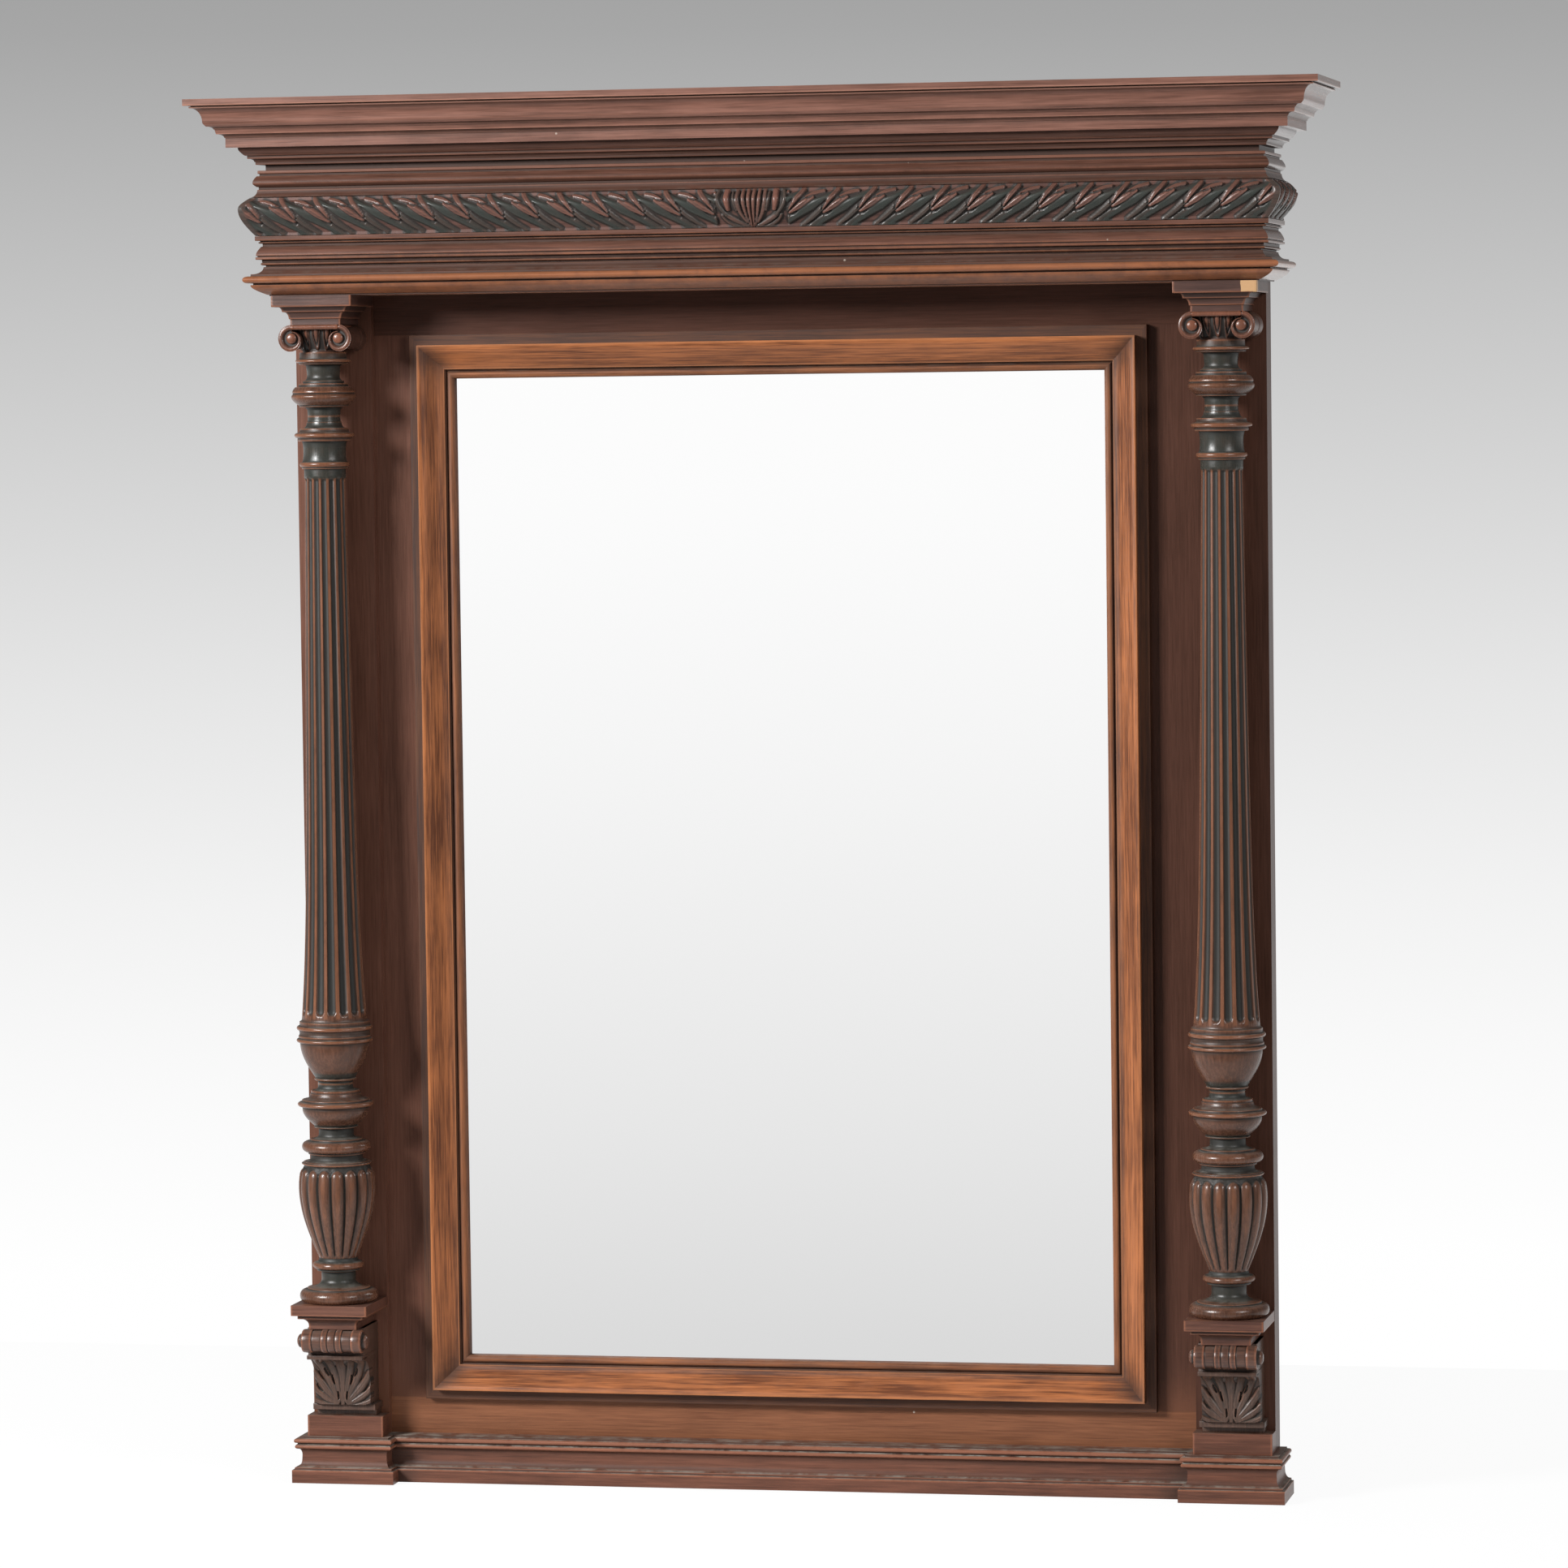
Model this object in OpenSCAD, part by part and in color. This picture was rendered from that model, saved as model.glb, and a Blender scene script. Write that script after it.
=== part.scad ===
// Overmantel mirror in carved walnut: a mirror plate in a moulded frame, between two
// fluted columns on scrolled consoles, under an entablature. Millimetres.
// X runs from left to right, +Y towards the wall and +Z up from the mantel shelf.

/* [Overall] */
// Height from the mantel shelf to the top of the crown
overall_h = 1800; // [1600:5:2200]
// Width over the two outer stiles
carcass_w = 1272; // [1100:2:1600]
// Thickness of the outer stiles
carcass_t = 42; // [38:1:60]
// How far the field stiles and rails lie behind the fronts of the outer stiles
field_recess = 12; // [0:1:12]

/* [Stiles and rails] */
// Width of an outer stile, and of the plinth block on it
outer_stile_w = 102; // [102:1:140]
// Width of a field stile that shows beside the moulding
field_stile_w = 50.5; // [35:0.5:80]
// Height of the bottom rail
bottom_rail_h = 107; // [100:1:160]
// Height of the top rail that shows under the entablature
top_rail_show = 52; // [30:1:90]
// Width of the lip that carries the moulding from behind
lip_w = 24.5; // [15:0.5:35]
// Thickness of that lip
lip_t = 14; // [13:0.5:18]
// Length of a rail's tenon
tenon_l = 40; // [25:1:60]
// Thickness of a tenon
tenon_t = 12; // [8:1:16]
// Shoulder left above and below a tenon
tenon_shoulder = 20; // [10:1:30]
// Depth of the tongue on a field stile
tongue_l = 8; // [4:1:15]
// Thickness of that tongue
tongue_t = 6; // [4:1:8]

/* [Mirror and moulding] */
// Width of the moulding from the sight edge to the field
mould_w = 57; // [50:1:80]
// Distance from the sight edge to the arris, its highest line
arris_w = 43.5; // [35:0.5:52]
// How far the arris stands in front of the carcass
arris_proud = 16; // [8:1:30]
// How far the outer fillet stands in front of the carcass
mould_fillet_proud = 1; // [0.5:0.5:4]
// Width of the bead along the sight edge
sight_bead_w = 10.5; // [5:0.5:12]
// Thickness of the mirror plate
mirror_t = 4; // [3:0.5:6]
// How far the moulding covers the edge of the plate
mirror_cover = 8; // [5:0.5:12]
// Room between the edge of the plate and its rebate
mirror_room = 1; // [0.5:0.5:3]
// Thickness of a backboard
plank_t = 10; // [8:0.5:12]
// Room round a backboard
plank_room = 1; // [0.5:0.5:3]
// Length of a block that wedges the plate
wedge_l = 40; // [20:5:80]
// Thickness of that block, between the plate and the backboards
wedge_t = 6; // [4:0.5:8]

/* [Plinths and base] */
// Height of a plinth block
block_h = 87; // [75:1:120]
// How far a plinth block stands in front of the carcass
block_proud = 33; // [25:1:60]
// How far the face of the base run stands in front of the carcass
base_run_proud = 7; // [3:0.5:15]

/* [Consoles] */
// Height of a console
console_h = 121.5; // [110:0.5:180]
// Radius of the scroll roll
roll_r = 15.5; // [10:0.5:18]
// Distance from the column's axis forward to the centre of the roll
roll_forward = 32; // [26:0.5:36]
// Half the width of the roll's banded part
roll_half_w = 40; // [30:0.5:46]
// Radius of the buttons at the ends of the roll
roll_button_r = 9; // [5:0.5:14]
// How far a button stands out
roll_button_l = 7.5; // [3:0.5:12]

/* [Columns] */
// Radius of the torus at the base of a column
base_torus_r = 51; // [46:0.5:51]
// Room between that torus and the carcass
column_room = 0.5; // [0.3:0.1:10]
// Radius of the fluted shaft at its foot
shaft_foot_r = 42.3; // [36:0.1:44]
// Radius of the fluted shaft at its top
shaft_top_r = 26; // [22:0.1:27]
// Number of flutes
flute_count = 16; // [12:2:20]
// Radius of the turned spigots
spigot_r = 12; // [8:0.5:15]
// Length of the turned spigots
spigot_l = 20; // [10:1:30]

/* [Capitals] */
// Height of a capital
capital_h = 35.5; // [35.5:0.5:50]
// Radius of a volute
volute_r = 17.5; // [12:0.5:17.5]
// Distance from the column's axis to the centre of a volute
volute_out = 31; // [24:0.5:34]
// Half the depth of a capital from front to back
capital_half_d = 40; // [34:0.5:45]
// Radius of a volute's eye
eye_r = 6.8; // [3:0.1:9]

/* [Entablature] */
// How far the entablature's core reaches in front of the columns' axes
core_forward = 45.5; // [40:0.5:90]
// Thickness of the boards of the core
board_t = 18; // [12:1:25]
// Thickness of the top board and of the soffit
cover_t = 12; // [8:1:18]

/* [Hardware] */
// Distance between the two hanging holes
hanger_span = 840; // [400:10:940]
// Distance from the hanging holes down from the top
hanger_drop = 110; // [80:5:200]
// Radius of a hanging hole
hanger_hole_r = 4.5; // [3:0.1:6]
// Depth of a hanging hole in the rail, behind its plate
hanger_hole_l = 12; // [8:1:25]
// Width of a hanging plate
hanger_w = 40; // [30:1:60]
// Height of a hanging plate
hanger_h = 76; // [60:1:100]
// Thickness of a hanging plate
hanger_t = 3; // [2.5:0.5:5]
// Radius of a screw's shank
screw_r = 1.9; // [1.5:0.1:2.5]
// Radius of a screw's head
screw_head_r = 4; // [3:0.1:5]
// Length of a screw under its head
screw_l = 22; // [15:1:25]

/* [Fits] */
// Room round each tenon, tongue, spigot and screw
fit_gap = 0.2; // [0.1:0.05:0.3]

/* [Hidden] */
$fn = 64;

LEFT = -1;
RIGHT = 1;
WALNUT = "#6f4129";
LIGHT_WALNUT = "#80502f";
DARK_WALNUT = "#5c3624";
DEAL = "#b8976a";
SILVERED = "#ccd2d4";
IRON = "#4d4a47";

// A profile is a list of stretches from the bottom up, each [form, height, lower, upper].
// The last two are radii on a turned piece and projections on a moulding.
FLAT = "flat";     // straight from lower to upper
SWELL = "swell";   // leaves at a slope and ends upright
CLOSE = "close";   // starts upright and ends at a slope
COVE = "cove";     // hollow quarter round
ROLL = "roll";     // half round, out to the upper value and back
curve_steps = 6;

// Mouldings of the entablature, measured out from its core
architrave_profile = [
    [FLAT, 1.5, 5, 5], [SWELL, 12.5, 7, 24.5], [FLAT, 2.2, 21.5, 21.5], [ROLL, 9, 27, 33],
    [FLAT, 2.7, 24, 24], [COVE, 9.2, 22.5, 10.5], [FLAT, 2.2, 8, 8], [ROLL, 3.5, 11, 13.5],
    [FLAT, 3.7, 12, 12], [FLAT, 3.3, 18.7, 18.7], [FLAT, 1.5, 16.5, 16.5],
    [CLOSE, 12, 18.3, 12.5], [FLAT, 3.7, 11, 11], [ROLL, 2.5, 13, 15.5],
    [FLAT, 1.2, 13.5, 13.5], [FLAT, 5.8, 19, 19]
];
cushion_profile = [[SWELL, 34.5, 19, 37], [CLOSE, 15, 37, 24]];
bed_profile = [
    [COVE, 10, 24, 15.5], [FLAT, 3.5, 14, 14], [SWELL, 5, 16, 20.5], [CLOSE, 9, 20.5, 16],
    [FLAT, 3, 13, 13], [FLAT, 4, 15, 15], [FLAT, 7.5, 6.5, 6.5], [FLAT, 3.5, 17, 17],
    [COVE, 4, 18, 23.5], [FLAT, 4, 25.5, 25.5], [SWELL, 10, 28, 35]
];
crown_profile = [
    [FLAT, 12.5, 47.5, 47.5], [COVE, 4.5, 48.5, 55.5], [FLAT, 6, 57, 58.5], [COVE, 3.5, 59.5, 66],
    [SWELL, 6, 67, 71], [COVE, 17, 71, 82.5], [FLAT, 2, 84.5, 84.5], [FLAT, 1, 82.5, 82.5],
    [FLAT, 8.5, 91, 91]
];

// Moulding round the plinths and along the base
base_profile = [
    [FLAT, 17, 17.5, 17.5], [FLAT, 3, 14.5, 14.5], [COVE, 10, 12.5, 6.3], [FLAT, 6, 6.3, 6],
    [COVE, 8, 6, 10], [ROLL, 6.5, 10, 14], [FLAT, 1.5, 11, 11], [ROLL, 6, 12, 15], [FLAT, 2, 9, 9]
];

// Shelf and abacus, measured out from their centre lines
shelf_profile = [
    [FLAT, 5.5, 32, 32], [COVE, 9, 32, 42], [FLAT, 5, 43.7, 43.7], [FLAT, 13.5, 50.7, 50.7]
];
shelf_overhang = 2.8;
abacus_profile = [
    [FLAT, 7.5, 33.5, 33.5], [COVE, 9, 35, 40], [COVE, 6.5, 42, 46.5], [FLAT, 14.5, 53.3, 53.3]
];
abacus_overhang = 1.2;

// Turned column, from the base torus up to the capital
vase_profile = [
    [ROLL, 16.5, 44, base_torus_r], [FLAT, 2.5, 41, 41], [COVE, 10.5, 39, 22.3], [FLAT, 10, 22.3, 22.3],
    [COVE, 1.5, 23, 27], [FLAT, 2.5, 28, 28], [ROLL, 9, 28.5, 33.5], [COVE, 5.5, 28, 24.9],
    [SWELL, 93, 25, 50], [CLOSE, 31.5, 50, 45.5], [FLAT, 1.5, 43.4, 43.4], [COVE, 5.5, 40, 33.6],
    [FLAT, 4, 33.6, 33.6], [FLAT, 3, 36.7, 36.7], [ROLL, 14, 38, 45], [FLAT, 3, 34.6, 34.6],
    [COVE, 6, 31, 22.7], [FLAT, 8, 22.7, 22.7], [ROLL, 3, 24, 28.9], [SWELL, 22, 28, 43.4],
    [FLAT, 3, 43.4, 43.4], [ROLL, 7, 44, 49.7], [FLAT, 2.5, 43.9, 43.9], [COVE, 8, 41, 33],
    [FLAT, 4, 32, 32], [COVE, 5.5, 28.4, 22.7], [FLAT, 3.5, 22.7, 22.7]
];
shaft_foot_profile = [
    [FLAT, 3.5, 22.7, 22.7], [ROLL, 4, 23.5, 27.4], [SWELL, 46, 26, 45], [ROLL, 6, 45, 49.7],
    [FLAT, 3, 46.9, 46.9], [ROLL, 7, 46.9, 45.5], [ROLL, 6, 46, 49.3], [FLAT, 5.5, 45.4, 45.4],
    [COVE, 3.5, 45.4, shaft_foot_r]
];
shaft_head_profile = [
    [FLAT, 11, shaft_top_r + 1, shaft_top_r + 1], [FLAT, 2.5, 29.6, 29.6], [ROLL, 6.5, 30, 32.6],
    [ROLL, 27, 29.6, 27.5], [FLAT, 4, 34, 34], [ROLL, 7, 34, 39], [COVE, 3, 34, 31.6],
    [FLAT, 2.5, 31.6, 31.6], [COVE, 8.5, 28, 22.4], [FLAT, 7, 21.4, 21]
];
neck_profile = [
    [FLAT, 9, 21, 21.5], [COVE, 3, 22.4, 28], [FLAT, 2.5, 31.6, 31.6], [SWELL, 10.5, 33, 42],
    [CLOSE, 4, 42, 40], [SWELL, 2, 39.6, 40.7], [CLOSE, 7, 40.7, 36.6], [FLAT, 4.5, 32, 32],
    [FLAT, 3, 26.5, 26.5], [COVE, 6.5, 26.5, 21], [FLAT, 12, 21, 22], [COVE, 3, 22, 28],
    [FLAT, 2, 31.5, 31.5], [ROLL, 5, 31.5, 36], [FLAT, 8.5, 30.5, 30.5]
];

function total(list, i = 0) = i == len(list) ? 0 : list[i] + total(list, i + 1);
function height(profile) = total([for (s = profile) s[1]]);

// Points of one stretch that starts at level z
function stretch(s, z) =
    let (form = s[0], h = s[1], a = s[2], b = s[3])
    form == FLAT ? [[a, z], [b, z + h]] :
    [for (i = [0 : curve_steps]) let (u = i / curve_steps, t = 90 * u)
        form == SWELL ? [a + (b - a) * sin(t), z + h * u] :
        form == CLOSE ? [b + (a - b) * cos(t), z + h * u] :
        form == ROLL ? [a + (b - a) * sin(2 * t), z + h / 2 * (1 - cos(2 * t))] :
        b > a ? [a + (b - a) * (1 - cos(t)), z + h * sin(t)] :
        [a + (b - a) * sin(t), z + h * (1 - cos(t))]];

// Points of a whole profile from level z up, without repeats
function outline(profile, z = 0) =
    let (points = [for (i = [0 : len(profile) - 1])
        each stretch(profile[i], z + height([for (k = [0 : 1 : i - 1]) profile[k]]))])
    [for (i = [0 : len(points) - 1]) if (i == 0 || norm(points[i] - points[i - 1]) > 0.01) points[i]];

// Levels from the mantel shelf up
shelf_z = block_h + console_h;
column_z = shelf_z + height(shelf_profile);
shaft_z = column_z + height(vase_profile);
flute_z = shaft_z + height(shaft_foot_profile);
crown_h = height(crown_profile);
entablature_h = height(architrave_profile) + height(cushion_profile) + height(bed_profile) + crown_h;
entablature_z = overall_h - entablature_h;
cushion_z = entablature_z + height(architrave_profile);
bed_z = cushion_z + height(cushion_profile);
crown_z = overall_h - crown_h;
abacus_z = entablature_z - height(abacus_profile);
capital_z = abacus_z - capital_h;
neck_z = capital_z - height(neck_profile);
shaft_head_z = neck_z - height(shaft_head_profile);
flute_l = shaft_head_z - flute_z;

// Places across, and out from the wall where a name ends in q, face or front
crown_out = crown_profile[len(crown_profile) - 1][3];
column_q = carcass_t + column_room + base_torus_r;
core_d = column_q + core_forward;
overall_d = core_d + crown_out;
carcass_x = carcass_w / 2;
carcass_top = overall_h - cover_t;
field_x = carcass_x - outer_stile_w;
opening_x = field_x - field_stile_w;
opening_z0 = bottom_rail_h;
opening_z1 = entablature_z - top_rail_show;
sight_x = opening_x - mould_w;
sight_z0 = opening_z0 + mould_w;
sight_z1 = opening_z1 - mould_w;
lip_x = opening_x - lip_w;
lip_z0 = opening_z0 + lip_w;
lip_z1 = opening_z1 - lip_w;
column_x = carcass_x - outer_stile_w / 2;
rebate_w = mirror_cover + mirror_room;
mirror_face = lip_t + wedge_t + mirror_t;
block_front = carcass_t + block_proud;
field_t = carcass_t - field_recess;
tenon_back = (field_t - tenon_t) / 2;
tongue_back = (field_t - tongue_t) / 2;
plank_h = (lip_z1 - lip_z0 - 5 * plank_room) / 4;
plank_x = lip_x - plank_room;
plank_screw_x = sight_x + rebate_w + (lip_x - sight_x - rebate_w) / 2;
hanger_z = overall_h - hanger_drop;
hanger_screw_out = hanger_h / 2 - 10;
screw_head_h = 1.6;
rail_skin = 2.5;
hanger_screw_l = min(screw_l, field_t - screw_head_h - rail_skin);
hanger_bore_l = min(hanger_hole_l, field_t - hanger_t - rail_skin);
reach = 400;

// Everything is drawn with the wall at Y = 0 and the front at negative Y, then centred
module on_wall(tone) color(tone) translate([0, overall_d / 2, 0]) children();

module on_side(side) {
    if (side == LEFT) mirror([1, 0, 0]) children();
    else children();
}

// Block between two corners given as [across, out from the wall, up]
module block(low, high)
    translate([low[0], -high[1], low[2]])
        cube([high[0] - low[0], high[1] - low[1], high[2] - low[2]]);

// Extrudes a [out, up] outline across the object
module across(half_w)
    rotate([90, 0, 90]) translate([0, 0, -half_w]) linear_extrude(2 * half_w) mirror([1, 0]) children();

// Extrudes an [across, up] outline out from the wall
module outwards(from, to)
    translate([0, -from, 0]) rotate([90, 0, 0]) linear_extrude(to - from) children();

// Prism over a plan given as [across, out] points
module over_plan(points, low = 0, high = overall_h)
    translate([0, 0, low]) linear_extrude(high - low) mirror([0, 1]) polygon(points);

// Closed outline from its right half, listed from the bottom up
module both_ways(half)
    polygon(concat(half, [for (i = [len(half) - 1 : -1 : 0]) [-half[i][0], half[i][1]]]));

module turned(profile, z)
    rotate_extrude() polygon(concat([[0, z]], outline(profile, z), [[0, z + height(profile)]]));

// Solid of a moulding's section, with its flat back at the given place
module section(profile, z, face, back)
    polygon(concat([[back, z]], [for (p = outline(profile, z)) [face + p[0], p[1]]],
        [[back, z + height(profile)]]));

// Three mouldings round a core: the front is mitred at 45 degrees to both returns
module front_run(profile, z, half_w, face)
    intersection() {
        across(half_w + reach) section(profile, z, face, face);
        over_plan([[-half_w, face], [half_w, face], [half_w + reach, face + reach],
            [-half_w - reach, face + reach]]);
    }

module return_run(profile, z, half_w, face, from = 0)
    intersection() {
        outwards(from, face + reach) section(profile, z, half_w, half_w);
        over_plan([[half_w, from], [half_w + reach, from], [half_w + reach, face + reach],
            [half_w, face]]);
    }

// Stack of a profile that is the same on the front and on both sides, flat at the back
module bracketed(profile, z, centre, overhang)
    intersection() {
        across(reach) section(profile, z, centre + overhang, carcass_t);
        outwards(carcass_t, reach) both_ways(outline(profile, z));
    }

module screw(head, l)
    translate([0, -head, 0]) rotate([90, 0, 0]) {
        cylinder(h = screw_head_h, r = screw_head_r);
        cylinder(h = screw_head_h + l, r = screw_r);
    }

// Hole for a screw, with a sinking for its head
module screw_hole(head, l)
    translate([0, -head, 0]) rotate([90, 0, 0]) {
        translate([0, 0, -1]) cylinder(h = screw_head_h + 1, r = screw_head_r + fit_gap);
        cylinder(h = screw_head_h + l + 1, r = screw_r + fit_gap);
    }

module plank_screws() {
    for (i = [0 : 3], x = [-plank_screw_x, plank_screw_x], share = [0.2, 0.8])
        translate([x, 0, plank_z(i) + share * plank_h]) children();
}

module hanger_screws() {
    for (x = [-hanger_span / 2, hanger_span / 2], dz = [-hanger_screw_out, hanger_screw_out])
        translate([x, 0, hanger_z + dz]) children();
}

function plank_z(i) = lip_z0 + plank_room + i * (plank_h + plank_room);

module outer_stile(side) on_wall(WALNUT) on_side(side)
    difference() {
        block([field_x, 0, 0], [carcass_x, carcass_t, carcass_top]);
        rail_tenon(0, opening_z0, fit_gap);
        rail_tenon(opening_z1, carcass_top, fit_gap);
        block([field_x - 1, tongue_back - fit_gap, opening_z0 - fit_gap],
            [field_x + tongue_l + fit_gap, tongue_back + tongue_t + fit_gap, opening_z1 + fit_gap]);
    }

// Tenon of a rail between two levels, grown by a clearance where it is cut away
module rail_tenon(low, high, room = 0)
    block([field_x - 1, tenon_back - room, low + tenon_shoulder - room],
        [field_x + tenon_l + room, tenon_back + tenon_t + room, high - tenon_shoulder + room]);

module field_stile(side) on_wall(WALNUT) on_side(side)
    union() {
        block([opening_x, 0, opening_z0], [field_x, field_t, opening_z1]);
        block([lip_x, 0, opening_z0], [opening_x, lip_t, opening_z1]);
        block([field_x, tongue_back, opening_z0], [field_x + tongue_l, tongue_back + tongue_t, opening_z1]);
    }

module rail(low, high, lip_low, lip_high) {
    block([-field_x, 0, low], [field_x, field_t, high]);
    block([-lip_x, 0, lip_low], [lip_x, lip_t, lip_high]);
    for (side = [LEFT, RIGHT]) on_side(side) rail_tenon(low, high);
}

module field_top_rail() on_wall(WALNUT)
    difference() {
        rail(opening_z1, carcass_top, lip_z1, opening_z1);
        for (side = [LEFT, RIGHT]) on_side(side) hanger_block(-1, fit_gap);
        hanging_holes();
        hanger_screws() screw_hole(0, hanger_screw_l);
    }

module field_bottom_rail() on_wall(WALNUT) rail(0, opening_z0, opening_z0, lip_z0);

// Section of the mirror's moulding as [out from the sight edge, out from the wall]
quirk_w = 1.5;
bead_base = mirror_face + 5;
bead_nose = bead_base + sight_bead_w / 2;
quirk_base = mirror_face + 9;
face_base = mirror_face + 13;
arris = carcass_t + arris_proud;
moulding_section = concat(
    [[rebate_w, mirror_face], [0, mirror_face]],
    [for (i = [0 : curve_steps]) let (t = 180 * i / curve_steps)
        [sight_bead_w / 2 * (1 - cos(t)), bead_base + (bead_nose - bead_base) * sin(t)]],
    [[sight_bead_w, quirk_base], [sight_bead_w + quirk_w, quirk_base]],
    [for (i = [0 : 2 * curve_steps]) let (u = i / (2 * curve_steps))
        [sight_bead_w + quirk_w + u * (arris_w - sight_bead_w - quirk_w),
            face_base + (arris - face_base) * (1 - cos(180 * u)) / 2]],
    [[arris_w, carcass_t + mould_fillet_proud], [mould_w, carcass_t + mould_fillet_proud],
        [mould_w, lip_t], [rebate_w, lip_t]]
);

module frame_moulding_side(side) on_wall(LIGHT_WALNUT) on_side(side)
    difference() {
        intersection() {
            translate([sight_x, 0, opening_z0]) linear_extrude(opening_z1 - opening_z0)
                mirror([0, 1]) polygon(moulding_section);
            outwards(0, arris + 1) polygon([[sight_x, sight_z0], [opening_x, opening_z0],
                [opening_x, opening_z1], [sight_x, sight_z1]]);
        }
        plank_screws() screw_hole(lip_t - plank_t, screw_l);
    }

// Top or bottom member, from its sight edge outwards: up is 1 or -1
module frame_moulding_level(sight_z, up) on_wall(LIGHT_WALNUT)
    intersection() {
        across(opening_x) polygon([for (p = moulding_section) [p[1], sight_z + up * p[0]]]);
        outwards(0, arris + 1) polygon([[-sight_x, sight_z], [sight_x, sight_z],
            [opening_x, sight_z + up * mould_w], [-opening_x, sight_z + up * mould_w]]);
    }

module mirror_plate() on_wall(SILVERED)
    block([-sight_x - mirror_cover, mirror_face - mirror_t, sight_z0 - mirror_cover],
        [sight_x + mirror_cover, mirror_face, sight_z1 + mirror_cover]);

module backboard(i) on_wall(DEAL)
    difference() {
        block([-plank_x, lip_t - plank_t, plank_z(i)], [plank_x, lip_t, plank_z(i) + plank_h]);
        plank_screws() screw_hole(lip_t - plank_t, screw_l);
    }

// Blocks in the rebate, between the back of the plate and the backboards
module mirror_wedges() on_wall(DEAL) {
    wedge_low = sight_z0 + wedge_l;
    wedge_span = sight_z1 - sight_z0 - 3 * wedge_l;
    for (side = [LEFT, RIGHT], share = [0, 1 / 3, 2 / 3, 1])
        on_side(side) translate([0, 0, wedge_low + share * wedge_span])
            block([sight_x + mirror_room, lip_t, 0], [sight_x + rebate_w, mirror_face - mirror_t, wedge_l]);
    for (x = [-sight_x / 2, 0, sight_x / 2]) {
        block([x - wedge_l / 2, lip_t, sight_z1 + mirror_room],
            [x + wedge_l / 2, mirror_face - mirror_t, sight_z1 + rebate_w]);
        block([x - wedge_l / 2, lip_t, sight_z0 - rebate_w],
            [x + wedge_l / 2, mirror_face - mirror_t, sight_z0 - mirror_room]);
    }
}

// The base run and the plinths' mouldings share one profile and mitre into each other
block_half_w = outer_stile_w / 2;
base_out = base_profile[0][3];
base_face = carcass_t + base_run_proud;

module base_moulding_centre() on_wall(WALNUT)
    intersection() {
        across(field_x) section(base_profile, 0, base_face, field_t);
        over_plan([[-field_x, field_t], [field_x, field_t], [field_x, base_face],
            [field_x - base_out, base_face + base_out], [base_out - field_x, base_face + base_out],
            [-field_x, base_face]]);
    }

module plinth_block(side) on_wall(WALNUT) on_side(side)
    block([field_x, carcass_t, 0], [carcass_x, block_front, block_h]);

module plinth_front(side) on_wall(WALNUT) on_side(side)
    translate([carcass_x - block_half_w, 0, 0]) front_run(base_profile, 0, block_half_w, block_front);

module plinth_outer(side) on_wall(WALNUT) on_side(side)
    return_run(base_profile, 0, carcass_x, block_front);

module plinth_inner(side) on_wall(WALNUT) on_side(side)
    intersection() {
        outwards(0, block_front + base_out)
            polygon([for (p = concat([[0, 0]], outline(base_profile), [[0, height(base_profile)]]))
                [field_x - p[0], p[1]]]);
        over_plan([[field_x, base_face], [field_x, block_front],
            [field_x - base_out, block_front + base_out], [field_x - base_out, base_face + base_out]]);
    }

// Console: how far each part stands in front of the carcass, and its half width
foot_proud = 24;
foot_half_w = 40;
foot_h = 8.5;
fillet_proud = 36.5;
fillet_half_w = 42;
fillet_h = 8;
leaf_proud = 44;
leaf_half_w = 37.5;
leaf_upright = 0.4;
lip_proud = 79;
lip_h = 5.5;
roll_drop = 4.5;
roll_bed = 6;
foot_top = block_h + foot_h;
leaf_z = foot_top + fillet_h;
roll_q = column_q + roll_forward;
roll_z = shelf_z - roll_r;
lip_z = shelf_z - 2 * roll_r - roll_drop - lip_h;

// Side outline: foot, fillet, leaf with its hollow sweep out to the lip, and bed of the roll
console_outline = concat(
    [[0, block_h], [foot_proud, block_h], [foot_proud, foot_top], [fillet_proud, foot_top],
        [fillet_proud, leaf_z]],
    [[leaf_proud, leaf_z]],
    [for (i = [0 : curve_steps]) let (t = 90 * i / curve_steps)
        [leaf_proud + (lip_proud - leaf_proud) * (1 - cos(t)),
            leaf_z + (lip_z - leaf_z) * (leaf_upright + (1 - leaf_upright) * sin(t))]],
    [[lip_proud, lip_z + lip_h], [roll_q - roll_r + roll_bed - carcass_t, lip_z + lip_h],
        [roll_q - roll_r + roll_bed - carcass_t, shelf_z], [0, shelf_z]]
);
console_half_outline = [
    [foot_half_w, block_h], [foot_half_w, foot_top], [fillet_half_w, foot_top],
    [fillet_half_w, leaf_z], [leaf_half_w, leaf_z], [leaf_half_w, shelf_z]
];

module console(side) on_wall(DARK_WALNUT) on_side(side) translate([column_x, 0, 0])
    difference() {
        intersection() {
            translate([0, -carcass_t, 0]) across(outer_stile_w) polygon(console_outline);
            outwards(carcass_t, reach) both_ways(console_half_outline);
        }
        translate([0, -roll_q, roll_z]) rotate([0, 90, 0])
            cylinder(h = outer_stile_w, r = roll_r + fit_gap, center = true);
    }

// Roll with three beads between two hollows, a band at each end and a button beyond it
band_shares = [15, 13, 9.5, 11, 9.5, 13, 15];
band_drops = [0, 1.2, 0, 0, 0, 1.2, 0];
band_unit = 2 * roll_half_w / total(band_shares);
band_swell = 1;
band_steps = 4;

function band_start(i) =
    band_unit * total([for (k = [0 : 1 : i - 1]) band_shares[k]]) - roll_half_w;

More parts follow.
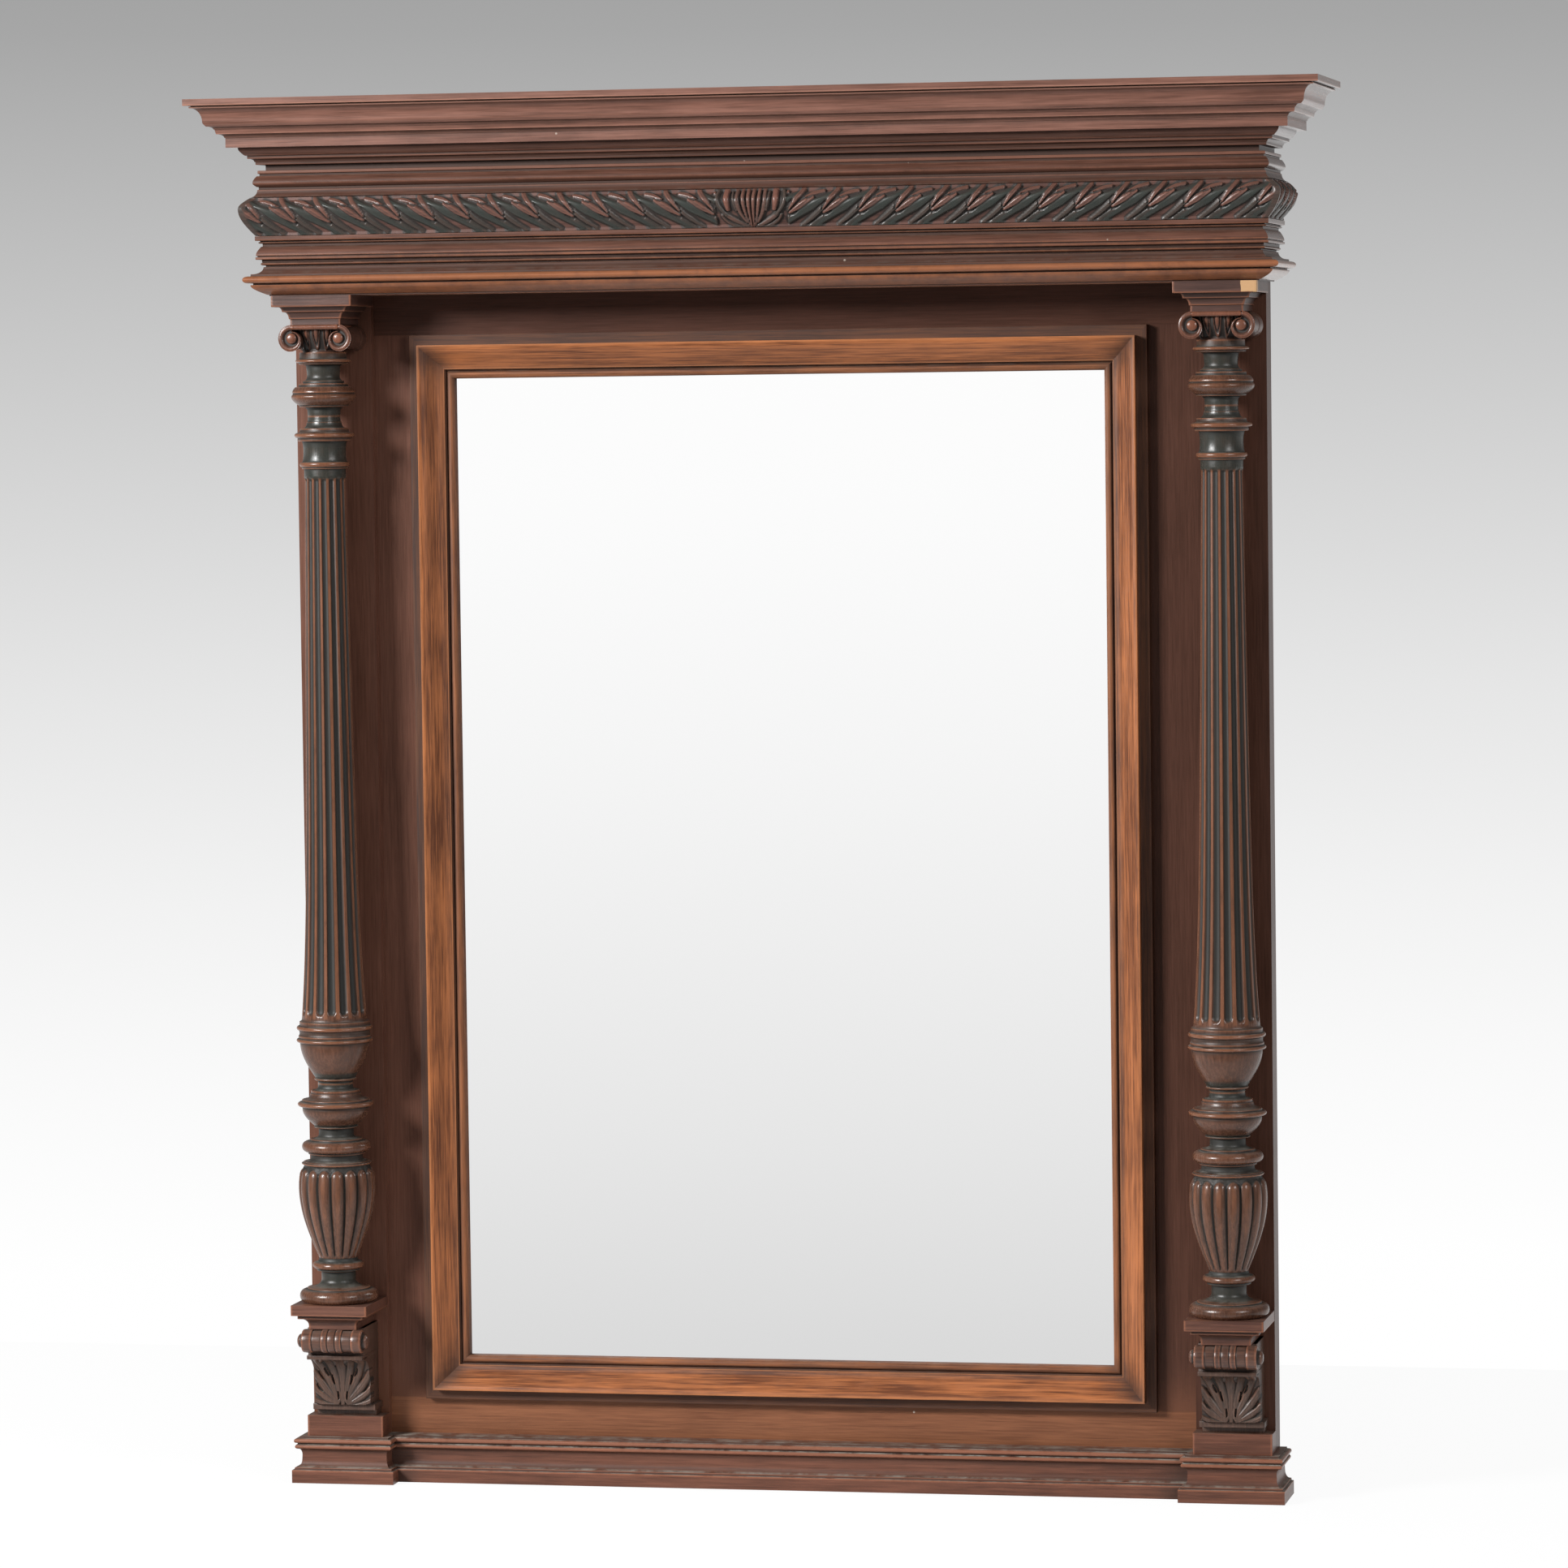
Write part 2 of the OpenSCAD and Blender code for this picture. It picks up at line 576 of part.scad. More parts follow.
roll_outline = concat(
    [[0, -roll_half_w - roll_button_l], [roll_button_r, -roll_half_w - roll_button_l],
        [roll_button_r, -roll_half_w]],
    [for (i = [0 : len(band_shares) - 1], k = [0 : band_steps]) let (t = 180 * k / band_steps)
        [roll_r - band_drops[i] - band_swell * (1 - sin(t)),
            band_start(i) + band_unit * band_shares[i] * (1 - cos(t)) / 2]],
    [[roll_button_r, roll_half_w], [roll_button_r, roll_half_w + roll_button_l],
        [0, roll_half_w + roll_button_l]]
);

module scroll_roll(side) on_wall(WALNUT) on_side(side)
    translate([column_x, -roll_q, roll_z]) rotate([0, 90, 0]) rotate_extrude()
        polygon([for (i = [0 : len(roll_outline) - 1])
            if (i == 0 || norm(roll_outline[i] - roll_outline[i - 1]) > 0.01) roll_outline[i]]);

module shelf(side) on_wall(WALNUT) on_side(side) translate([column_x, 0, 0])
    difference() {
        bracketed(shelf_profile, shelf_z, column_q, shelf_overhang);
        socket(column_z - spigot_l);
    }

// Spigot under a turned piece and the socket that takes it, on the column's axis
module spigot(z) translate([0, 0, z - spigot_l]) cylinder(h = spigot_l, r = spigot_r);

module socket(z)
    translate([0, -column_q, z - 1]) cylinder(h = spigot_l + 2, r = spigot_r + fit_gap);

module on_column(side) on_side(side) translate([column_x, -column_q, 0]) children();

module column_socket(z) translate([0, column_q, 0]) socket(z - spigot_l);

module column_vase(side) on_wall(WALNUT) on_column(side)
    difference() {
        union() {
            turned(vase_profile, column_z);
            spigot(column_z);
        }
        column_socket(shaft_z);
    }

// Radius of the fluted shaft, with s from 0 at its top to 1 at its foot
function shaft_radius(s) = shaft_top_r + (shaft_foot_r - shaft_top_r) * (0.6 * s + 0.4 * pow(s, 7));

shaft_steps = 12;
flute_top_s = 0.02;
flute_foot_s = 0.86;
flute_share = 0.4;
flute_depth = 0.62;
flute_sink = 0.6;

function flute_r(s) = flute_share * 2 * PI * shaft_radius(s) / flute_count;
function flute_axis(s) = [
    shaft_radius(s) + (1 - flute_depth) * flute_r(s) - flute_sink, shaft_head_z - s * flute_l
];

// Straight tapering cutter of one flute
module flute() {
    low = flute_axis(flute_foot_s);
    high = flute_axis(flute_top_s);
    translate([low[0], 0, low[1]]) rotate([0, atan2(high[0] - low[0], high[1] - low[1]), 0])
        cylinder(h = norm(high - low), r1 = flute_r(flute_foot_s), r2 = flute_r(flute_top_s));
}

module column_shaft(side) on_wall(WALNUT) on_column(side)
    difference() {
        union() {
            rotate_extrude() polygon(concat(
                [[0, shaft_z]], outline(shaft_foot_profile, shaft_z),
                [for (i = [1 : shaft_steps]) let (s = 1 - i / shaft_steps)
                    [shaft_radius(s), flute_z + flute_l * i / shaft_steps]],
                outline(shaft_head_profile, shaft_head_z), [[0, neck_z]]));
            spigot(shaft_z);
        }
        for (i = [0 : flute_count - 1]) rotate([0, 0, 360 * (i + 0.5) / flute_count]) flute();
        column_socket(neck_z);
    }

module column_neck(side) on_wall(WALNUT) on_column(side)
    union() {
        turned(neck_profile, neck_z);
        spigot(neck_z);
        spigot(capital_z + spigot_l);
    }

// Capital: a drum between two bolsters that end in volutes, under a plain band
band_h = 7;
volute_z = abacus_z - volute_r;
eye_out = 1.5;
drum_r = 30.5;

module capital(side) on_wall(WALNUT) on_column(side)
    difference() {
        union() {
            translate([0, 0, capital_z]) cylinder(h = capital_h, r = drum_r);
            translate([-volute_out, -capital_half_d, abacus_z - band_h])
                cube([2 * volute_out, 2 * capital_half_d, band_h]);
            for (x = [-volute_out, volute_out]) translate([x, 0, volute_z]) rotate([90, 0, 0]) {
                cylinder(h = 2 * capital_half_d, r = volute_r, center = true);
                cylinder(h = 2 * capital_half_d + 2 * eye_out, r = eye_r, center = true);
            }
        }
        translate([0, 0, capital_z - 1]) cylinder(h = spigot_l + 2, r = spigot_r + fit_gap);
    }

module abacus(side) on_wall(WALNUT) on_side(side) translate([column_x, 0, 0])
    bracketed(abacus_profile, abacus_z, column_q, abacus_overhang);

module entablature_front_board() on_wall(WALNUT)
    block([-carcass_x, core_d - board_t, entablature_z], [carcass_x, core_d, carcass_top]);

module entablature_end(side) on_wall(WALNUT) on_side(side)
    block([carcass_x - board_t, carcass_t, entablature_z], [carcass_x, core_d - board_t, carcass_top]);

// The soffit reaches back between the outer stiles to the top rail
module soffit_board() on_wall(WALNUT)
    union() {
        block([board_t - carcass_x, carcass_t, entablature_z],
            [carcass_x - board_t, core_d - board_t, entablature_z + cover_t]);
        block([-field_x, field_t, entablature_z], [field_x, carcass_t, entablature_z + cover_t]);
    }

module top_board() on_wall(WALNUT)
    block([-carcass_x, 0, carcass_top], [carcass_x, core_d, overall_h]);

module course_front(profile, z, tone = WALNUT) on_wall(tone) front_run(profile, z, carcass_x, core_d);

module course_return(profile, z, side, tone = WALNUT) on_wall(tone) on_side(side)
    return_run(profile, z, carcass_x, core_d);

module frieze_return(side) course_return(cushion_profile, cushion_z, side, DARK_WALNUT);

// Plate let in flush with the back of the top rail
module hanger_block(low, room = 0)
    block([hanger_span / 2 - hanger_w / 2 - room, low, hanger_z - hanger_h / 2 - room],
        [hanger_span / 2 + hanger_w / 2 + room, hanger_t, hanger_z + hanger_h / 2 + room]);

// Two blind holes for wall pegs, through the plates and on into the rail
module hanging_holes() {
    for (x = [-hanger_span / 2, hanger_span / 2]) translate([x, 1, hanger_z])
        rotate([90, 0, 0]) cylinder(h = 1 + hanger_t + hanger_bore_l, r = hanger_hole_r);
}

module hanging_plates() on_wall(IRON)
    difference() {
        for (side = [LEFT, RIGHT]) on_side(side) hanger_block(0);
        hanging_holes();
        hanger_screws() screw_hole(0, hanger_screw_l);
    }

module screws() on_wall(IRON) {
    plank_screws() screw(lip_t - plank_t, screw_l);
    hanger_screws() screw(0, hanger_screw_l);
}

outer_stile(LEFT);  // outer_stile_left
outer_stile(RIGHT);  // outer_stile_right
field_stile(LEFT);  // field_stile_left
field_stile(RIGHT);  // field_stile_right
field_top_rail();
field_bottom_rail();
frame_moulding_side(LEFT);  // frame_moulding_left
frame_moulding_side(RIGHT);  // frame_moulding_right
frame_moulding_level(sight_z1, 1);  // frame_moulding_top
frame_moulding_level(sight_z0, -1);  // frame_moulding_bottom
mirror_plate();
backboard(0);  // backboard_1
backboard(1);  // backboard_2
backboard(2);  // backboard_3
backboard(3);  // backboard_4
mirror_wedges();
base_moulding_centre();
plinth_block(LEFT);  // plinth_block_left
plinth_block(RIGHT);  // plinth_block_right
plinth_front(LEFT);  // plinth_moulding_left_front
plinth_outer(LEFT);  // plinth_moulding_left_outer
plinth_inner(LEFT);  // plinth_moulding_left_inner
plinth_front(RIGHT);  // plinth_moulding_right_front
plinth_outer(RIGHT);  // plinth_moulding_right_outer
plinth_inner(RIGHT);  // plinth_moulding_right_inner
console(LEFT);  // console_left
console(RIGHT);  // console_right
scroll_roll(LEFT);  // scroll_roll_left
scroll_roll(RIGHT);  // scroll_roll_right
shelf(LEFT);  // shelf_left
shelf(RIGHT);  // shelf_right
column_vase(LEFT);  // column_vase_left
column_vase(RIGHT);  // column_vase_right
column_shaft(LEFT);  // column_shaft_left
column_shaft(RIGHT);  // column_shaft_right
column_neck(LEFT);  // column_neck_left
column_neck(RIGHT);  // column_neck_right
capital(LEFT);  // capital_left
capital(RIGHT);  // capital_right
abacus(LEFT);  // abacus_left
abacus(RIGHT);  // abacus_right
entablature_front_board();
entablature_end(LEFT);  // entablature_end_left
entablature_end(RIGHT);  // entablature_end_right
soffit_board();
top_board();
course_front(architrave_profile, entablature_z);  // architrave_front
course_return(architrave_profile, entablature_z, LEFT);  // architrave_left
course_return(architrave_profile, entablature_z, RIGHT);  // architrave_right
course_front(cushion_profile, cushion_z, DARK_WALNUT);  // frieze_cushion_front
frieze_return(LEFT);  // frieze_cushion_left
frieze_return(RIGHT);  // frieze_cushion_right
course_front(bed_profile, bed_z);  // bed_moulding_front
course_return(bed_profile, bed_z, LEFT);  // bed_moulding_left
course_return(bed_profile, bed_z, RIGHT);  // bed_moulding_right
course_front(crown_profile, crown_z);  // crown_moulding_front
course_return(crown_profile, crown_z, LEFT);  // crown_moulding_left
course_return(crown_profile, crown_z, RIGHT);  // crown_moulding_right
hanging_plates();
screws();
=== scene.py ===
"""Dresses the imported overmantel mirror: carved walnut, a silvered plate and a plain studio.

Sizes are in millimetres, as in the CAD source. X runs to the viewer's right, Z up, and q is the
distance out from the wall.
"""

import logging
import math
from collections.abc import Callable, Sequence
from dataclasses import dataclass, field, replace
from enum import Enum

import bmesh
import bpy
import numpy as np
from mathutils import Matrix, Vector


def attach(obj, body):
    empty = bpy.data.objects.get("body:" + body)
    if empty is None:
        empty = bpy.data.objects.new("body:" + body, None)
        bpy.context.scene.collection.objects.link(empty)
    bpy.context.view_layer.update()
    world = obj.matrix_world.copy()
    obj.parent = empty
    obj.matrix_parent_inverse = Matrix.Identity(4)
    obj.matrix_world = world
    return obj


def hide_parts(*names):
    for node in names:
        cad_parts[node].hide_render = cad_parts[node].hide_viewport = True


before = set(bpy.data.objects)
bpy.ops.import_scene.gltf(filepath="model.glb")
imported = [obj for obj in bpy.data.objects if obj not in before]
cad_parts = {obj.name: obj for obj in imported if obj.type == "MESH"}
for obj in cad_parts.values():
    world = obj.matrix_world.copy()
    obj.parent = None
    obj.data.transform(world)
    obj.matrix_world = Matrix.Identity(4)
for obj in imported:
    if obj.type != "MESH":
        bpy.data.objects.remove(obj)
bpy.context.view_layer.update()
LOG = logging.getLogger("overmantel")

MM = 0.001
MERGE = 1e-6
WALL_Y = 0.115
Colour = tuple[float, float, float]
Array = np.ndarray


class Side(Enum):
    """Half of the mirror that a piece belongs to."""

    LEFT = -1
    RIGHT = 1

    @property
    def word(self) -> str:
        """Name of the side in the CAD nodes' names."""
        return self.name.lower()


class Form(Enum):
    """How one stretch of a profile runs from its lower to its upper value."""

    FLAT = "straight"
    SWELL = "leaves at a slope and ends upright"
    CLOSE = "starts upright and ends at a slope"
    COVE = "hollow quarter round"
    ROLL = "half round out to the upper value and back"


class Grain(Enum):
    """Axis that the wood's fibres follow."""

    ACROSS = 0
    OUTWARDS = 1
    UPRIGHT = 2


FLAT, SWELL, CLOSE, COVE, ROLL = Form


# ---------------------------------------------------------------- shader nodes


class Value:
    """A socket that carries a number, with the operators that the shaders use."""

    def __init__(self, shader: "Shader", socket: bpy.types.NodeSocket) -> None:
        """Keeps the socket and the shader that it belongs to."""
        self.shader = shader
        self.socket = socket

    def _maths(self, operation: str, first: "Number", second: "Number" = 0.0) -> "Value":
        """Adds one Math node.

        Args:
            operation: the node's operation.
            first: its first value.
            second: its second value.

        Returns:
            The node's result.
        """
        return self.shader.value(
            "ShaderNodeMath", {"operation": operation}, {0: first, 1: second}
        )

    def __add__(self, other: "Number") -> "Value":
        """Sum."""
        return self._maths("ADD", self, other)

    def __radd__(self, other: "Number") -> "Value":
        """Sum with the number on the left."""
        return self._maths("ADD", other, self)

    def __sub__(self, other: "Number") -> "Value":
        """Difference."""
        return self._maths("SUBTRACT", self, other)

    def __rsub__(self, other: "Number") -> "Value":
        """Difference with the number on the left."""
        return self._maths("SUBTRACT", other, self)

    def __mul__(self, other: "Number") -> "Value":
        """Product."""
        return self._maths("MULTIPLY", self, other)

    def __rmul__(self, other: "Number") -> "Value":
        """Product with the number on the left."""
        return self._maths("MULTIPLY", other, self)

    def least(self, other: "Number") -> "Value":
        """The smaller of two values."""
        return self._maths("MINIMUM", self, other)

    def between(self, low: float, high: float) -> "Value":
        """Rises smoothly from 0 at low to 1 at high.

        Args:
            low: value that gives 0.
            high: value that gives 1.

        Returns:
            The eased value.
        """
        return self.shader.value(
            "ShaderNodeMapRange",
            {"interpolation_type": "SMOOTHSTEP"},
            {"Value": self, "From Min": low, "From Max": high},
        )


Number = Value | float


class Shader:
    """Node tree of one material or world, filled through a single method."""

    def __init__(self, owner: bpy.types.Material | bpy.types.World) -> None:
        """Empties the owner's node tree.

        Args:
            owner: the material or world.
        """
        owner.use_nodes = True
        self.tree = owner.node_tree
        self.tree.nodes.clear()

    def node(
        self, kind: str, settings: dict[str, object], inputs: dict[int | str, object]
    ) -> bpy.types.Node:
        """Adds a node.

        Args:
            kind: the node's type.
            settings: its properties, or "stops" for the stops of a colour ramp.
            inputs: numbers, colours, values or sockets for its inputs.

        Returns:
            The node.
        """
        made = self.tree.nodes.new(kind)
        for name, setting in settings.items():
            if name == "stops":
                ramp = made.color_ramp
                while len(ramp.elements) < len(setting):
                    ramp.elements.new(0.5)
                for element, (place, colour) in zip(ramp.elements, setting):
                    element.position = place
                    element.color = (*colour, 1.0)
            else:
                setattr(made, name, setting)
        for name, given in inputs.items():
            socket = made.inputs[name]
            if isinstance(given, Value):
                self.tree.links.new(given.socket, socket)
            elif isinstance(given, bpy.types.NodeSocket):
                self.tree.links.new(given, socket)
            elif isinstance(given, tuple) and len(given) == 3 and socket.type == "RGBA":
                socket.default_value = (*given, 1.0)
            else:
                socket.default_value = given
        return made

    def value(
        self,
        kind: str,
        settings: dict[str, object],
        inputs: dict[int | str, object],
        output: int | str = 0,
    ) -> Value:
        """Adds a node and takes one output as a number.

        Args:
            kind: the node's type.
            settings: its properties.
            inputs: its inputs.
            output: name or place of the output.

        Returns:
            The output, wrapped for maths.
        """
        return Value(self, self.node(kind, settings, inputs).outputs[output])

    def blend(self, share: Number, first: object, second: object) -> bpy.types.NodeSocket:
        """Mixes two colours.

        Args:
            share: how much of the second colour shows.
            first: a colour or a socket.
            second: a colour or a socket.

        Returns:
            The mixed colour's socket.
        """
        settings = {"data_type": "RGBA", "clamp_factor": True}
        mixed = self.node("ShaderNodeMix", settings, {"Factor": share, 6: first, 7: second})
        return mixed.outputs[2]

    def ramp(self, share: Number, stops: Sequence[tuple[float, Colour]]) -> bpy.types.NodeSocket:
        """Colours a number.

        Args:
            share: the number.
            stops: numbers and their colours.

        Returns:
            The colour's socket.
        """
        return self.node("ShaderNodeValToRGB", {"stops": stops}, {"Fac": share}).outputs[0]

    def mark(self, name: str) -> Value:
        """Reads a number that is kept on the mesh's points."""
        return self.value("ShaderNodeAttribute", {"attribute_name": name}, {}, "Fac")

    def place(self) -> bpy.types.NodeSocket:
        """Gives the place on the object, in metres."""
        return self.node("ShaderNodeTexCoord", {}, {}).outputs["Object"]

    def axes(self, vector: object) -> list[Value]:
        """Takes a vector apart."""
        parts = self.node("ShaderNodeSeparateXYZ", {}, {"Vector": vector}).outputs
        return [Value(self, part) for part in parts]

    def along(self, vector: object, grain: Grain, share: float) -> bpy.types.NodeSocket:
        """Stretches a pattern along the grain.

        Args:
            vector: where the pattern is read.
            grain: axis of the fibres.
            share: factor on that axis.

        Returns:
            The place to read instead.
        """
        scale = tuple(share if axis == grain.value else 1.0 for axis in range(3))
        settings = {"operation": "MULTIPLY"}
        return self.node("ShaderNodeVectorMath", settings, {0: vector, 1: scale}).outputs[0]

    def noise(
        self, vector: object, scale: float, detail: float = 4.0, roughness: float = 0.55
    ) -> Value:
        """Adds a noise pattern.

        Args:
            vector: where it is read.
            scale: how fine it is.
            detail: how many finer layers it has.
            roughness: how strong those are.

        Returns:
            The pattern, about 0.5 on average.
        """
        inputs = {"Vector": vector, "Scale": scale, "Detail": detail, "Roughness": roughness}
        return self.value("ShaderNodeTexNoise", {}, inputs)

    def bump(self, height: Value, strength: float, distance: float) -> bpy.types.NodeSocket:
        """Turns a height into a normal.

        Args:
            height: the height.
            strength: how much of it shows.
            distance: metres that a height of 1 stands for.

        Returns:
            The normal's socket.
        """
        inputs = {"Strength": strength, "Distance": distance, "Height": height}
        return self.node("ShaderNodeBump", {}, inputs).outputs[0]

    def surface(self, inputs: dict[int | str, object]) -> None:
        """Ends the material in a Principled shader with the given inputs."""
        made = self.node("ShaderNodeBsdfPrincipled", {}, inputs).outputs[0]
        self.node("ShaderNodeOutputMaterial", {}, {"Surface": made})


# -------------------------------------------------------------------- finishes


@dataclass(frozen=True)
class Walnut:
    """Waxed walnut with its figure, worn edges, hollows darkened by grime and painted shade, and
    dust.

    The marks "wear", "grime" and "patina" on a mesh's points say where the wood is rubbed,
    where its hollows are dirty and painted in shade, and where it is blackened. A CAD node has
    none of them, so it only shows the plain wood.
    """

    name: str
    grain: Grain
    light: Colour = (0.16, 0.07, 0.049)
    dark: Colour = (0.066, 0.029, 0.022)
    worn: Colour = (0.24, 0.09, 0.045)
    hollow: Colour = (0.03, 0.014, 0.009)
    black: Colour = (0.02, 0.024, 0.02)
    dust: Colour = (0.2, 0.18, 0.155)
    # painted light: lit tone that a board's foot fades into, and the heights in metres over which
    # the fade runs
    painted_light_foot: Colour | None = None
    painted_light_band: tuple[float, float] = (0.095, 0.175)
    figure_share: float = 1.0
    wear_share: float = 0.5
    grime_share: float = 0.75
    dust_share: float = 0.3
    roughness: float = 0.36
    specular: float = 0.3
    speck: Colour = (0.5, 0.44, 0.37)
    speck_share: float = 0.0
    bare: Colour = (0.4, 0.24, 0.12)
    bare_box: tuple[float, ...] = ()

    def material(self) -> bpy.types.Material:
        """Builds the material."""
        made = bpy.data.materials.new(self.name)
        shader = Shader(made)
        place = shader.place()
        fibres = shader.along(place, self.grain, 0.03)
        figure = shader.noise(shader.along(place, self.grain, 0.16), 26.0, 3.0)
        streak = shader.noise(fibres, 330.0, 5.0, 0.65)
        fine = shader.noise(fibres, 800.0, 2.0, 0.6)
        mottle = shader.noise(place, 9.0, 3.0)
        rub = shader.noise(place, 48.0, 4.0, 0.7)
        swing = (figure - 0.5) + (streak - 0.5) * 1.8 + (mottle - 0.5) * 0.7 + (fine - 0.5) * 0.9
        tone = swing * self.figure_share + 0.5
        middle = tuple((a + b) / 2 for a, b in zip(self.light, self.dark))
        wood = shader.ramp(tone, ((0.12, self.dark), (0.5, middle), (0.9, self.light)))
        # painted light: the board's foot takes the lit tone, fading into the shaded wood above
        if self.painted_light_foot:
            height = shader.axes(place)[2]
            low = 1.0 - (height + (rub - 0.5) * 0.03).between(*self.painted_light_band)
            wood = shader.blend(low, wood, self.painted_light_foot)
        wear = shader.mark("wear")
        grime = shader.mark("grime")
        blackened = shader.mark("patina") * (0.72 + 0.5 * rub)
        # grime and painted shade: the hollows' mark darkens the wood towards the hollow colour
        soil_and_shade = (grime * (0.7 + 0.7 * rub)).between(0.12, 0.85) * self.grime_share
        rubbed = (wear * (0.2 + 1.4 * rub)).between(0.15, 0.85) * self.wear_share
        colour = shader.blend(blackened, wood, self.black)
        colour = shader.blend(soil_and_shade, colour, self.hollow)
        colour = shader.blend(rubbed, colour, self.worn)
        normal = shader.node("ShaderNodeNewGeometry", {}, {}).outputs["Normal"]
        upward = shader.axes(normal)[2].between(0.5, 1.0)
        settled = upward * (0.35 + 0.9 * grime) * rub.between(0.3, 0.7)
        dusty = settled * self.dust_share
        colour = shader.blend(dusty, colour, self.dust)
        if self.speck_share:
            cells = {"Vector": place, "Scale": 34.0}
            spot = shader.value("ShaderNodeTexVoronoi", {}, cells, "Distance")
            chosen = shader.noise(place, 21.0, 0.0).between(0.66, 0.67)
            specks = (1.0 - spot.between(0.04, 0.06)) * chosen * self.speck_share
            colour = shader.blend(specks, colour, self.speck)
        if self.bare_box:
            colour = shader.blend(self._bare(shader, place, rub), colour, self.bare)
        rough = self.roughness + (streak - 0.5) * 0.16 + soil_and_shade * 0.3 + dusty * 0.4
        height = streak * 0.5 + fine * 0.25 + rub * 0.55 + mottle * 1.2
        shader.surface({
            "Base Color": colour,
            "Roughness": rough - rubbed * 0.06,
            "Normal": shader.bump(height, 0.5, 0.0007),
            "Specular IOR Level": self.specular,
        })
        return made

    def _bare(self, shader: Shader, place: bpy.types.NodeSocket, rub: Value) -> Value:
        """Masks the bare wood where a corner has broken off.

        Args:
            shader: the shader that it belongs to.
            place: socket of the place on the object.
            rub: noise that roughens the edge.

        Returns:
            1 inside the box and 0 outside.
        """
        edge, raggedness = 0.0008, 0.008
        mask: Number = 1.0
        for part, low, high in zip(shader.axes(place), self.bare_box[::2], self.bare_box[1::2]):
            ragged = part + (rub - 0.5) * raggedness
            above = ragged.between(low, low + edge)
            mask = above * (1.0 - ragged.between(high, high + edge)) * mask
        return mask


@dataclass(frozen=True)
class Deal:
    """Bare softwood of the back, darkened by age."""

    name: str = "bare_deal"
    grain: Grain = Grain.ACROSS
    light: Colour = (0.42, 0.27, 0.14)
    dark: Colour = (0.16, 0.085, 0.04)
    stain: Colour = (0.1, 0.06, 0.035)

    def material(self) -> bpy.types.Material:
        """Builds the material."""
        made = bpy.data.materials.new(self.name)
        shader = Shader(made)
        place = shader.place()
        rings = shader.noise(shader.along(place, self.grain, 0.05), 120.0, 4.0)
        stain = shader.noise(place, 7.0, 4.0)
        stops = ((0.25, self.dark), (0.75, self.light))
        colour = shader.ramp(rings * 0.7 + stain * 0.3, stops)
        shader.surface({
            "Base Color": shader.blend(stain.between(0.5, 0.8) * 0.5, colour, self.stain),
            "Roughness": 0.6 + rings * 0.3,
            "Normal": shader.bump(rings, 0.4, 0.001),
        })
        return made


@dataclass(frozen=True)
class Iron:
    """Dark iron of the plates and screws, with a little rust."""

    name: str = "dark_iron"
    metal: Colour = (0.085, 0.08, 0.078)
    rusty: Colour = (0.13, 0.05, 0.025)

    def material(self) -> bpy.types.Material:
        """Builds the material."""
        made = bpy.data.materials.new(self.name)
        shader = Shader(made)
        blotch = shader.noise(shader.place(), 160.0, 5.0)
        rust = blotch.between(0.52, 0.68)
        shader.surface({
            "Base Color": shader.blend(rust, self.metal, self.rusty),
            "Metallic": 1.0 - rust,
            "Roughness": 0.42 + rust * 0.4,
            "Normal": shader.bump(blotch, 0.4, 0.0005),
        })
        return made


@dataclass(frozen=True)
class Silvering:
    """Silvered plate glass."""

    name: str = "silvered_plate"
    tint: Colour = (0.985, 0.985, 0.985)
    roughness: float = 0.012

    def material(self) -> bpy.types.Material:
        """Builds the material."""
        made = bpy.data.materials.new(self.name)
        shader = Shader(made)
        shader.surface({"Base Color": self.tint, "Metallic": 1.0, "Roughness": self.roughness})
        return made


class FinishBox:
    """Builds each finish once and hands it out."""

    def __init__(self) -> None:
        """Starts empty."""
        self.made: dict[str, bpy.types.Material] = {}

    def get(self, finish: Walnut | Deal | Iron | Silvering) -> bpy.types.Material:
        """Gives a finish's material, and builds it on its first use.

        Args:
            finish: the finish, which its name tells from the others.

        Returns:
            Its material.
        """
        if finish.name not in self.made:
            self.made[finish.name] = finish.material()
        return self.made[finish.name]


# -------------------------------------------------------------------- profiles


def eased(points: Array, radius: float, longest: float = 2.5) -> Array:
    """Rounds the corners of an outline and divides its long stretches.

    Args:
        points: places along the outline.
        radius: how far from a corner the rounding starts.
        longest: greatest distance between neighbours.

    Returns:
        The new outline.
    """
    kept = [points[0]]
    for point in points[1:]:
        if np.hypot(*(point - kept[-1])) > 0.02:
            kept.append(point)
    rounded = [kept[0]]
    for before, corner, after in zip(kept, kept[1:], kept[2:]):
        back, on = before - corner, after - corner
        lengths = np.hypot(*back), np.hypot(*on)
        turn = math.acos(np.clip(-(back @ on) / lengths[0] / lengths[1], -1, 1))
        if turn < 0.35:
            rounded.append(corner)
            continue
        reach = min(radius, 0.42 * lengths[0], 0.42 * lengths[1])
        start, end = corner + back / lengths[0] * reach, corner + on / lengths[1] * reach
        for t in (0.0, 0.33, 0.67, 1.0):
            rounded.append((1 - t) ** 2 * start + 2 * t * (1 - t) * corner + t * t * end)
    rounded.append(kept[-1])
    divided = [rounded[0]]
    for start, end in zip(rounded, rounded[1:]):
        count = max(1, math.ceil(np.hypot(*(end - start)) / longest))
        divided += [start + (end - start) * k / count for k in range(1, count + 1)]
    return np.array(divided)


def outward(points: Array) -> Array:
    """Finds the unit normals of an outline that runs up with its solid on the left.

    Args:
        points: places along the outline.

    Returns:
        The normal at each point.
    """
    run = np.gradient(points, axis=0)
    run /= np.maximum(np.hypot(run[:, 0], run[:, 1]), 1e-9)[:, None]
    return np.stack([run[:, 1], -run[:, 0]], axis=1)


